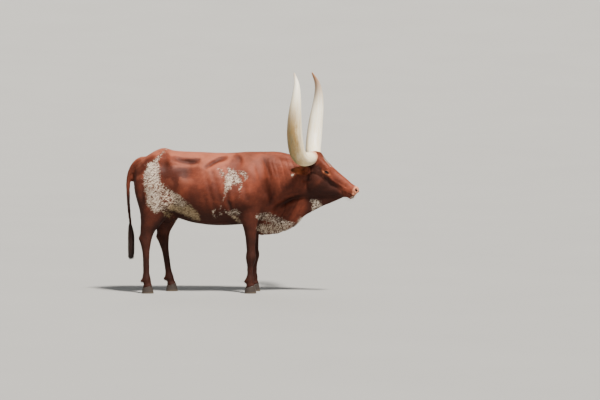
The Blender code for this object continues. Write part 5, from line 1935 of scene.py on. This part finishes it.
class SkinSampler:
    """Draws root places evenly over the skin, weighted by a density."""

    names: tuple[str, ...] = ("mark", "yellow", "cup", "flesh", "dark", "lace", "sun")

    def __init__(self, skin: Object) -> None:
        """Reads the skin's triangles and stored values.

        Args:
            skin: the skin's object.
        """
        mesh = skin.data
        mesh.calc_loop_triangles()
        self.corners = read(mesh.loop_triangles, "vertices", 3, np.int32)
        self.points, self.normals = points_of(mesh), normals_of(mesh)
        self.values = {
            name: read(mesh.attributes[name].data, "value").astype(float) for name in self.names
        }
        a, b, c = (self.points[self.corners[:, k]] for k in range(3))
        self.middles = (a + b + c) / 3.0
        self.areas = np.linalg.norm(np.cross(b - a, c - a), axis=1) / 2.0
        for horn in HORNS:
            path, radii = horn.curve(12)
            for place, after, radius in zip(path[:40], path[1:41], radii):
                away, way = self.middles - place, unit(after - place)
                ahead = away @ way
                inside = (ahead > -0.001) & (ahead < np.linalg.norm(after - place) + 0.001)
                self.areas[inside & ((away**2).sum(1) - ahead**2 < radius**2)] = 0.0

    def draw(self, count: int, density: Array, seed: int) -> Roots:
        """Draws roots.

        Args:
            count: how many.
            density: how close they stand, for each triangle.
            seed: sets the draw.

        Returns:
            The roots.
        """
        rng = np.random.default_rng(seed)
        weight = self.areas * density
        ends = np.cumsum(weight)
        spaced = (np.arange(count) + rng.uniform(0.0, 1.0, count)) / count * ends[-1]
        face = np.minimum(np.searchsorted(ends, spaced), len(ends) - 1)
        u, v = rng.uniform(0.0, 1.0, (2, count))
        over = u + v > 1.0
        u, v = np.where(over, 1.0 - u, u), np.where(over, 1.0 - v, v)
        shares = np.stack([1.0 - u - v, u, v], axis=1)
        corners = self.corners[face]
        points = (self.points[corners] * shares[..., None]).sum(1)
        normals = unit((self.normals[corners] * shares[..., None]).sum(1))
        values = {name: (value[corners] * shares).sum(1) for name, value in self.values.items()}
        return Roots(points, normals, values)


def coat_way(points: Array) -> Array:
    """The way the short coat lies at each place, before it is laid on the skin.

    It runs back and down over the trunk, down the legs and tail, back over the cheeks, down
    the face to the muzzle, and out along the ears.

    Args:
        points: places in the shared frame.

    Returns:
        Directions of length 1.
    """
    x, _, z = (points - SHIFT).T
    local = HEAD.local(points)
    axes = HEAD.axes()
    down = step(z, 0.72, 0.5)[:, None]
    way = (1.0 - down) * np.array([-0.9, 0.0, -0.42]) + down * np.array([-0.12, 0.0, -1.0])
    tail = (step(x, -0.93, -1.0) * step(z, 1.2, 1.1))[:, None]
    way = (1.0 - tail) * way + tail * DOWN
    head = (step(x, 0.54, 0.64) * step(local[:, 0], -0.05, 0.05))[:, None]
    cheek = step(local[:, 2], -0.08, -0.14)[:, None]
    face = (1.0 - cheek) * axes[0] + cheek * (-0.75 * axes[0] - 0.6 * axes[2])
    poll = step(local[:, 0], 0.1, 0.04)[:, None]
    face = (1.0 - poll) * face - poll * axes[0]
    way = (1.0 - head) * way + head * face
    ears = ear_share(points)[:, None]
    outwards = np.sign(local[:, 1])[:, None] * axes[1] * 0.8 - np.array([0.6, 0.0, 0.0])
    way = (1.0 - ears) * way + ears * outwards
    bend = np.stack([ripples(points, 0.35, seed, 2) for seed in (51, 52, 53)], axis=1)
    return unit(way + 0.16 * bend)


def unwrapped(points: Array) -> Array:
    """Where each place of the skin lies on its unwrap, from 0 to 1 both ways.

    The trunk, neck and head are one tube unrolled about a line along the body, and each leg
    is a tube unrolled about its own upright line, in a strip below it.

    Args:
        points: places in the shared frame.

    Returns:
        The two shares for each place.
    """
    x, y, z = (points - SHIFT).T
    spine = np.interp(x, [-1.05, -0.7, 0.0, 0.3, 0.6, 1.05], [1.05, 1.02, 0.96, 0.98, 1.05, 0.93])
    yaw = np.interp(x, [0.14, 0.44, 1.05], [0.0, -0.02, -0.16])
    angle = np.arctan2(y - yaw, z - spine) / TURN + 0.5
    trunk = np.stack([0.02 + 0.96 * angle, 0.36 + 0.62 * (x + 1.1) / 2.2], axis=1)
    fore = x > -0.3
    middle = np.where(fore, 0.08, np.where(y > 0.0, -0.76, -0.88))
    number = np.where(fore, 0, 2) + (y > 0.0)
    turn = np.arctan2(y - 0.142 * np.sign(y), x - middle) / TURN + 0.5
    leg = np.stack([0.01 + 0.25 * number + 0.22 * turn, 0.02 + 0.3 * z / 0.66], axis=1)
    return np.where((z < 0.62)[:, None] & (x < 0.25)[:, None], leg, trunk)


def lock_piece(
    name: str, path: Array, side: Array, out: Array, wide: Array, thick: Array, corners: int,
    values: dict[str, Array], finish: Material,
) -> Object:
    """Many tapered locks as one mesh.

    Each lock is a flat tube: at each point of its path the ring is
    cos(a) * wide * side + sin(a) * thick * out, and it ends in a point. Its own small patch of
    the unwrap is LOCK_ON_CHART wide.

    Args:
        name: the object's name.
        path: the locks' middle lines: a root if it lies apart from the first ring, one place
            for each ring, and a tip.
        side: directions across, shaped (locks, rings, 3), or (locks, 1, 3) for all its rings.
        out: directions through, shaped the same.
        wide: half-widths, shaped (locks, rings).
        thick: half-thicknesses, shaped the same.
        corners: how many points each ring has.
        values: what is stored for each lock.
        finish: the hair's material.

    Returns:
        The object.
    """
    count, rings = wide.shape
    turn = (turns(corners) + math.pi / 2.0)[:, None]
    body = (
        path[:, -rings - 1 : -1, None]
        + np.cos(turn) * (wide[..., None] * side)[:, :, None]
        + np.sin(turn) * (thick[..., None] * out)[:, :, None]
    )
    points = np.concatenate([body.reshape(count, -1, 3), path[:, :1], path[:, -1:]], axis=1)
    quads, ends = tube_faces(count, rings, corners)
    first = points.reshape(-1, 3)[ends[: 2 * corners]] - points[0].mean(0)
    volume = np.einsum("ij,ij->i", first[:, 0], np.cross(first[:, 1], first[:, 2])).sum()
    if volume < 0.0:
        quads, ends = quads[:, ::-1], ends[:, ::-1]
    made = mesh_piece(name, points.reshape(-1, 3), quads, ends)
    size = rings * corners + 2
    for key, value in values.items():
        set_values(made.data, key, np.repeat(value, size, axis=0))
    along = np.concatenate([np.repeat(np.arange(rings) / rings, corners), [0.0, 1.0]])
    set_values(made.data, "tip", np.tile(along, count))
    across = np.concatenate([np.tile(np.cos(turn).ravel() / 2.0 + 0.5, rings), [0.5, 0.5]])
    own = LOCK_ON_CHART * (np.stack([across, along], axis=1) - 0.5)
    places = unwrapped(values["root"])[:, None] + own
    corner = read(made.data.loops, "vertex_index", 1, np.int32)
    chart = made.data.uv_layers.new(name="OFBake")
    chart.uv.foreach_set("vector", places.reshape(-1, 2)[corner].astype(np.float32).ravel())
    if "facing" in values:
        facing = np.repeat(values["facing"], size, axis=0)
        made.data.normals_split_custom_set_from_vertices(facing)
    made.data.materials.append(finish)
    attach(made, BODY)
    return made


@dataclass(frozen=True)
class Coat:
    """The short coat: flat tufts that overlap and lie along the skin, smallest on the face.

    disorder is how much their directions differ, and glint how much their normals do.
    """

    sampler: SkinSampler
    finish: Material
    bands: tuple[str, ...] = ("rump", "haunch", "flank", "ribs", "shoulder", "neck", "head")
    count: int = 214000
    slenderness: float = 0.064
    flatness: float = 0.22
    disorder: float = 0.22
    glint: float = 0.05
    trunk: float = 0.015
    less_on_legs: float = 0.005
    less_on_feet: float = 0.002
    less_on_head: float = 0.0085
    less_on_muzzle: float = 0.0015
    tail: float = 0.009
    ears: float = 0.0065

    def length(self, points: Array) -> Array:
        """How long a tuft is: longest on the trunk and shortest on the muzzle.

        Args:
            points: places in the shared frame.

        Returns:
            The length at each place, in metres.
        """
        x, _, z = (points - SHIFT).T
        down_face = HEAD.local(points)[:, 0]
        head = step(x, 0.52, 0.66) * step(down_face, 0.0, 0.1)
        size = self.trunk - self.less_on_legs * step(z, 0.66, 0.4)
        size = size - self.less_on_feet * step(z, 0.2, 0.08) - self.less_on_head * head
        size = size - self.less_on_muzzle * head * step(down_face, 0.3, 0.42)
        size = np.where(x < -0.93, np.minimum(size, self.tail), size)
        return np.where(ear_share(points) > 0.4, self.ears, size)

    def build(self) -> list[Object]:
        """Builds the coat in bands along the body, each with as many tufts.

        Returns:
            One object for each band.
        """
        density = 1.0 / self.length(self.sampler.middles) ** 1.25
        bare = self.sampler.values["flesh"][self.sampler.corners].mean(1)
        roots = self.sampler.draw(self.count, density * step(bare, 0.6, 0.3), 3)
        order = np.array_split(np.argsort(roots.points[:, 0]), len(self.bands))
        return [
            self.band("coat_" + name, roots.chosen(index), seed)
            for seed, (name, index) in enumerate(zip(self.bands, order))
        ]

    def band(self, name: str, roots: Roots, seed: int) -> Object:
        """Builds the tufts of one band.

        A tuft leaves the skin at a slight lift, bends back down and ends in a point, and its
        length, width and turn vary a little.

        Args:
            name: the object's name.
            roots: where the tufts grow.
            seed: sets the small changes.

        Returns:
            The object.
        """
        draw = np.random.default_rng(100 + seed)
        count = len(roots.points)
        size = self.length(roots.points) * draw.uniform(0.75, 1.25, count)
        way = coat_way(roots.points) + self.disorder * draw.normal(size=(count, 3))
        way = laid(way, roots.normals)
        side = np.cross(way, roots.normals)
        lift = size * draw.uniform(0.045, 0.1, count)
        start = roots.points - 0.0006 * roots.normals
        middle = start + way * (0.42 * size)[:, None] + roots.normals * (lift + 0.0007)[:, None]
        end = start + way * size[:, None] + roots.normals * (lift * 0.9 + 0.0003)[:, None]
        path = np.stack([start, middle, end], axis=1)
        wide = (self.slenderness * size * draw.uniform(0.75, 1.25, count))[:, None]
        values = {name: roots.values[name] for name in self.sampler.names}
        values["root"] = roots.points
        values["tone"] = draw.uniform(0.0, 1.0, count) ** 1.5
        values["facing"] = unit(roots.normals + self.glint * draw.normal(size=(count, 3)))
        ring = side[:, None], roots.normals[:, None]
        thick = self.flatness * wide
        return lock_piece(name, path, *ring, wide, thick, 3, values, self.finish)


@dataclass(frozen=True)
class Fringe:
    """Longer hair in one place, as tapered locks that leave the skin and bend as they hang."""

    name: str
    count: int
    length: float
    width: float
    lift: float
    droop: float
    lie: Lie
    jitter: float = 0.25
    rings: int = 4
    flatness: float = 0.35
    glint: float = 0.08

    def build(self, roots: Roots, ways: Array, finish: Material, seed: int) -> Object:
        """Builds the hair from its roots.

        Along a lock at a share s of its length, the place is the root plus
        length * (s * way + lift * s * (1 - s/2) * normal) less droop * s^2 straight down.

        Args:
            roots: where the hair grows.
            ways: which way it leaves: one direction for each root, or one for all.
            finish: its material.
            seed: sets the small changes.

        Returns:
            The object.
        """
        draw = np.random.default_rng(seed)
        count = len(roots.points)
        size = self.length * draw.uniform(0.55, 1.1, count)
        way = unit(ways + self.jitter * draw.normal(size=(count, 3)))
        if self.lie is Lie.FLAT:
            way = laid(way, roots.normals)
        share = np.linspace(0.0, 1.0, self.rings + 1)[None, :, None]
        rise = self.lift * share * (1.0 - share / 2.0)
        path = (roots.points - 0.001 * roots.normals)[:, None] + size[:, None, None] * (
            share * way[:, None] + rise * roots.normals[:, None] + self.droop * share**2 * DOWN
        )
        side = unit(np.cross(way, roots.normals) + 1e-6)
        out = np.cross(side, way)
        taper = np.array([0.8, 1.0, 0.8, 0.5])[None] * self.width / 2.0
        wide = taper * draw.uniform(0.7, 1.2, (count, 1))
        values = {"root": roots.points, "tone": draw.uniform(0.0, 1.0, count) ** 1.5}
        if self.lie is Lie.FLAT:
            values["facing"] = unit(roots.normals + self.glint * draw.normal(size=(count, 3)))
        for name in SkinSampler.names:
            values[name] = roots.values[name]
        ring = side[:, None], out[:, None]
        thick = wide * self.flatness
        return lock_piece(self.name, path, *ring, wide, thick, 3, values, finish)


@dataclass(frozen=True)
class Switch:
    """The tuft at the tail's end: long locks that hang from a core and part towards the tips."""

    locks: int = 680
    rings: int = 9
    top: float = 0.652
    tip: float = 0.3
    core_x: float = -1.0295
    swing: tuple[float, float] = (0.014, 0.034)
    parting: tuple[float, float] = (0.002, 0.022)
    width: tuple[float, float] = (0.0016, 0.0034)

    def build(self, finish: Material) -> Object:
        """Builds the locks.

        A lock starts on the core at a height and an angle, swings out by a half sine, and
        comes back to its own place near the middle as it nears its tip. Soft waves cross it.

        Args:
            finish: the hair's material.

        Returns:
            The object.
        """
        low, high = box_of("tail_switch")
        centre = np.array([self.core_x + SHIFT[0], centre_of("tail")[1], 0.0])
        draw = np.random.default_rng(5)
        n = self.locks
        level = draw.uniform(0.0, 1.0, n) ** 1.3
        start = self.top - 0.19 * level
        end = np.maximum(self.tip + 0.13 * draw.uniform(0.0, 1.0, n) ** 2.2, self.tip)
        angle = draw.uniform(0.0, TURN, n)
        share = np.linspace(0.0, 1.0, self.rings + 1)[None]
        z = start[:, None] + (end - start)[:, None] * share
        spread = draw.uniform(*self.swing, n)[:, None]
        tip = draw.uniform(*self.parting, n)[:, None]
        swing = np.sin(math.pi * np.clip(share * 0.92, 0.0, 1.0)) ** 0.9
        reach = (0.006 * (1.0 - share) + spread * swing) * (1.0 - 0.35 * share) + tip * share**2
        turn = angle[:, None] + draw.uniform(-0.6, 0.6, n)[:, None] * share
        wave = 0.0025 * np.sin(TURN * (1.6 * share + draw.uniform(0.0, 1.0, (n, 1)))) * share
        out = np.stack([np.cos(turn), np.sin(turn), np.zeros_like(turn)], axis=-1)
        side = np.stack([-np.sin(turn), np.cos(turn), np.zeros_like(turn)], axis=-1)
        path = centre + out * reach[..., None] + side * wave[..., None]
        path[..., 0] -= 0.006 * step(z, 0.56, 0.63)
        path[..., 2] = z
        path[..., :2] = np.clip(path[..., :2], low[:2] + 0.002, high[:2] - 0.002)
        taper = (0.35 + 1.0 * share) * np.clip(1.0 - share**1.7, 0.0, 1.0) ** 0.8 + 0.05
        wide = (draw.uniform(*self.width, (n, 1)) * taper)[:, : self.rings]
        values = {"root": path[:, 0], "tone": draw.uniform(0.0, 1.0, n)}
        rings = slice(0, self.rings)
        made = lock_piece(
            "switch_hair", path, side[:, rings], out[:, rings], wide, wide * 0.4, 4, values, finish
        )
        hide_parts("tail_switch")
        return made


@dataclass(frozen=True)
class LongHair:
    """Longer hair where it breaks the coat's form: poll, ears, feet, muzzle, udder and dewlap."""

    sampler: SkinSampler
    coat: Material

    def region(self, fringe: Fringe, weight: Array, seed: int, ways: Array | None = None) -> None:
        """Builds a fringe where a weight says.

        Args:
            fringe: the kind of hair.
            weight: how close it stands, for each triangle of the skin.
            seed: sets the draw.
            ways: one direction for the whole fringe, or none for the coat's own.
        """
        if weight.max() <= 0.0:
            LOG.info("%s has no place to grow", fringe.name)
            return
        roots = self.sampler.draw(fringe.count, weight, seed)
        leaving = coat_way(roots.points) if ways is None else ways
        made = fringe.build(roots, leaving, self.coat, seed)
        LOG.info("%s: %d locks", made.name, fringe.count)

    def build(self) -> None:
        """Builds every fringe."""
        points = self.sampler.middles
        body, local = points - SHIFT, HEAD.local(points)
        cup = self.sampler.values["cup"][self.sampler.corners].mean(1)
        ears = ear_share(points)
        axes = HEAD.axes()
        x, y, z = body.T
        poll = step(local[:, 0], 0.075, 0.01) * step(np.abs(local[:, 1]), 0.075, 0.05)
        poll = poll * step(local[:, 2], -0.1, -0.04) * step(x, 0.6, 0.66)
        self.region(Fringe("poll_hair", 2600, 0.024, 0.0015, 0.32, 0.15, Lie.FLAT, 0.3), poll, 61)
        self.region(Fringe("ear_hair", 2600, 0.024, 0.0011, 0.3, 0.12, Lie.HANGING, 0.3),
                    cup * ears, 62)
        self.region(Fringe("ear_edge_hair", 2600, 0.011, 0.0012, 0.2, 0.1, Lie.HANGING, 0.2),
                    ears * (1.0 - cup), 63)
        feet = band(z, 0.046, 0.054, 0.072, 0.085)
        self.region(Fringe("foot_hair", 2600, 0.02, 0.0018, 0.24, 0.1, Lie.FLAT, 0.2), feet, 64,
                    DOWN)
        heel = band(z, 0.07, 0.08, 0.14, 0.16)
        behind = np.where(x > -0.3, step(x, 0.05, 0.035), 1.0)
        self.region(Fringe("fetlock_hair", 900, 0.024, 0.0022, 0.25, 0.25, Lie.FLAT, 0.2),
                    heel * behind, 65)
        chin = step(local[:, 0], 0.38, 0.42) * step(local[:, 2], -0.095, -0.115) * step(x, 0.8, 0.9)
        self.region(Fringe("chin_hair", 150, 0.017, 0.0006, 0.8, 0.5, Lie.HANGING, 0.3), chin, 66,
                    -axes[2])
        nose = step(local[:, 0], 0.45, 0.47) * step(local[:, 2], -0.03, -0.05) * step(x, 0.8, 0.9)
        self.region(Fringe("whiskers", 90, 0.026, 0.0005, 0.9, 0.35, Lie.HANGING, 0.4), nose, 69,
                    0.3 * axes[0] - 0.5 * axes[2])
        udder = band(x, -0.84, -0.8, -0.6, -0.56) * step(z, 0.75, 0.7) * step(np.abs(y), 0.09, 0.06)
        self.region(Fringe("udder_hair", 700, 0.018, 0.0016, 0.35, 0.3, Lie.HANGING, 0.4),
                    udder, 67, np.array([-0.2, 0.0, -1.0]))
        low = 0.56 + 0.42 * np.clip(x - 0.1, 0.0, 1.0)
        dewlap = step(z, low + 0.06, low) * band(x, 0.1, 0.16, 0.85, 0.95)
        self.region(Fringe("dewlap_hair", 1200, 0.016, 0.0014, 0.15, 0.3, Lie.FLAT), dewlap, 68)


@dataclass(frozen=True)
class Lashes:
    """Eyelashes: long on the upper lid, short on the lower one."""

    count: int = 110
    rings: int = 4
    upper: float = 0.0135
    lower: float = 0.0055
    radius: float = 0.00045

    def build(self, eye: Eye, finish: Material) -> Object:
        """Builds one eye's lashes.

        A lash leaves the lid's edge outwards and curls up on the upper lid and down on the
        lower one, as a parabola.

        Args:
            eye: the eye that they belong to.
            finish: the hair's material.

        Returns:
            The object.
        """
        site, count = eye.site, self.count
        draw = np.random.default_rng(70 + site.side.value)
        edge = eye.rim_path(1.05, 0.0015, count)
        upper = edge[:, 1] > 0.0
        ahead = edge[:, 0] / site.half_length
        size = np.where(upper, self.upper, self.lower) * (1.0 - 0.45 * ahead**2)
        size = size * draw.uniform(0.7, 1.1, count)
        curl = np.where(upper, 1.0, -1.0)[:, None] * np.array([0.0, 1.0, 0.0])
        away = np.stack([0.55 * ahead, 0.35 * curl[:, 1], np.ones(count)], 1)
        way = unit(away + 0.16 * draw.normal(size=(count, 3)))
        share = np.linspace(0.0, 1.0, self.rings + 1)[None, :, None]
        bent = share * way[:, None] + 0.55 * share**2 * curl[:, None]
        path = edge[:, None] + size[:, None, None] * bent
        side = unit(np.cross(way, curl))
        wide = np.array([0.9, 0.8, 0.6, 0.35]) * self.radius * np.ones((count, 1))
        axes = site.axes()
        ring = (side @ axes)[:, None], (np.cross(side, way) @ axes)[:, None]
        values = {"root": site.centre() + edge @ axes, "tone": draw.uniform(0.0, 1.0, count)}
        made = lock_piece(
            "lashes_" + site.name(), site.centre() + path @ axes, *ring, wide, wide, 3, values,
            finish,
        )
        return made


# ---------------------------------------------------------------- the studio


@dataclass(frozen=True)
class Sun:
    """One soft light from far away, so that the floor is lit evenly.

    It shines from its place towards the cow and is as wide as the number of degrees.
    """

    name: str
    place: tuple[float, float, float]
    power: float
    degrees: float
    colour: tuple[float, float, float]

    def build(self) -> None:
        """Builds the light."""
        light = bpy.data.lights.new(self.name, "SUN")
        light.energy = self.power
        light.angle = math.radians(self.degrees)
        light.color = self.colour
        stand = shown(bpy.data.objects.new(self.name, light))
        stand.location = self.place
        stand.rotation_euler = (-Vector(self.place)).to_track_quat("-Z", "Y").to_euler()


SUNS = (
    Sun("key", (2.2, -3.4, 6.6), 10.2, 9.0, (1.0, 0.955, 0.89)),
    Sun("back", (-1.5, 6.0, 4.0), 0.7, 40.0, (0.96, 0.98, 1.0)),
)


@dataclass(frozen=True)
class Studio:
    """A pale floor, soft lights and the camera at the photograph's angle.

    The camera stands far back, as with a long lens: distance metres from the cow's middle
    plane, height metres above the floor, looking at (aim_x, aim_z) in that plane.
    """

    distance: float = 28.0
    height: float = 2.21
    aim_x: float = 0.531
    aim_z: float = 0.851
    focal_pixels: float = 3043.0
    sensor: float = 36.0
    floor_flat: float = 10.0
    floor_rim: float = 70.0
    floor_rise: float = 9.0
    floor_corners: int = 96
    sky: tuple[float, float, float, float] = (0.86, 0.88, 0.9, 1.0)
    sky_strength: float = 0.21

    def build(self) -> None:
        """Builds the floor, the lights, the backdrop's tone and the camera."""
        self.build_floor()
        for sun in SUNS:
            sun.build()
        world = bpy.data.worlds.new("studio")
        world.use_nodes = True
        shade = world.node_tree.nodes["Background"]
        shade.inputs["Color"].default_value = self.sky
        shade.inputs["Strength"].default_value = self.sky_strength
        bpy.context.scene.world = world
        self.build_camera()

    def build_floor(self) -> None:
        """A round floor, flat out to floor_flat, that then rises as a parabola towards its rim.

        The rise hides the far edge, so that the floor is its own backdrop from every side.
        """
        radii = np.concatenate([[0.5], np.linspace(self.floor_flat, self.floor_rim, 40)])
        count = self.floor_corners
        r, a = np.meshgrid(radii, turns(count), indexing="ij")
        far = (r - self.floor_flat).clip(0.0) / (self.floor_rim - self.floor_flat)
        rings = np.stack([r * np.cos(a), r * np.sin(a), self.floor_rise * far**2], axis=-1)
        corner = np.arange(count)
        quads = ring_quads(len(radii), count)[:, [0, 3, 2, 1]]
        fan = np.stack([np.full(count, len(radii) * count), corner, (corner + 1) % count], axis=-1)
        points = np.vstack([rings.reshape(-1, 3), [0.0, 0.0, 0.0]])
        floor = mesh_piece("floor", points, quads, fan)
        floor.data.materials.append(FloorFinish().build())

    def build_camera(self) -> None:
        """The camera, level from side to side and tipped down a little."""
        camera = bpy.data.cameras.new("camera")
        camera.sensor_width = self.sensor
        camera.lens = self.focal_pixels * self.sensor / PICTURE_WIDTH
        camera.clip_end = 400.0
        stand = shown(bpy.data.objects.new("camera", camera))
        stand.location = (self.aim_x, SHIFT[1] - self.distance, self.height)
        way = Vector((self.aim_x, SHIFT[1], self.aim_z)) - stand.location
        stand.rotation_euler = way.to_track_quat("-Z", "Y").to_euler()
        bpy.context.scene.camera = stand


def main() -> None:
    """Builds every piece in order and reports each one."""
    logging.basicConfig(level=logging.INFO, format="%(name)s: %(message)s")
    Studio().build()
    skin = Skin()
    LOG.info("skin: %d faces", len(skin.piece.data.polygons))
    horn_finish = HornFinish().build()
    for horn in HORNS:
        LOG.info("%s", horn.build(horn_finish).name)
    claw_finish = ClawFinish().build()
    for pair in Pair:
        for side in (Side.RIGHT, Side.LEFT):
            for claw in Claw:
                LOG.info("%s", Foot(pair, side).build(claw, claw_finish).name)
    switch_finish = StrandFinish("switch hair", linear(58, 30, 22), linear(26, 16, 13)).build()
    lash_finish = StrandFinish("lashes", linear(28, 18, 14), linear(12, 9, 8)).build()
    eye_finish, rim_finish = EyeFinish().build(), RimFinish().build()
    for site in skin.sites:
        eye = Eye(site)
        LOG.info("%s", eye.build_ball(eye_finish).name)
        LOG.info("%s", eye.build_rim(rim_finish).name)
        LOG.info("%s", Lashes().build(eye, lash_finish).name)
    LOG.info("%s", Switch().build(switch_finish).name)
    sampler = SkinSampler(skin.piece)
    coat_finish = HideFinish("coat", 0.55, True).build()
    for band in Coat(sampler, coat_finish).build():
        LOG.info("%s: %d faces", band.name, len(band.data.polygons))
    LongHair(sampler, coat_finish).build()


if __name__ == "__main__":
    main()
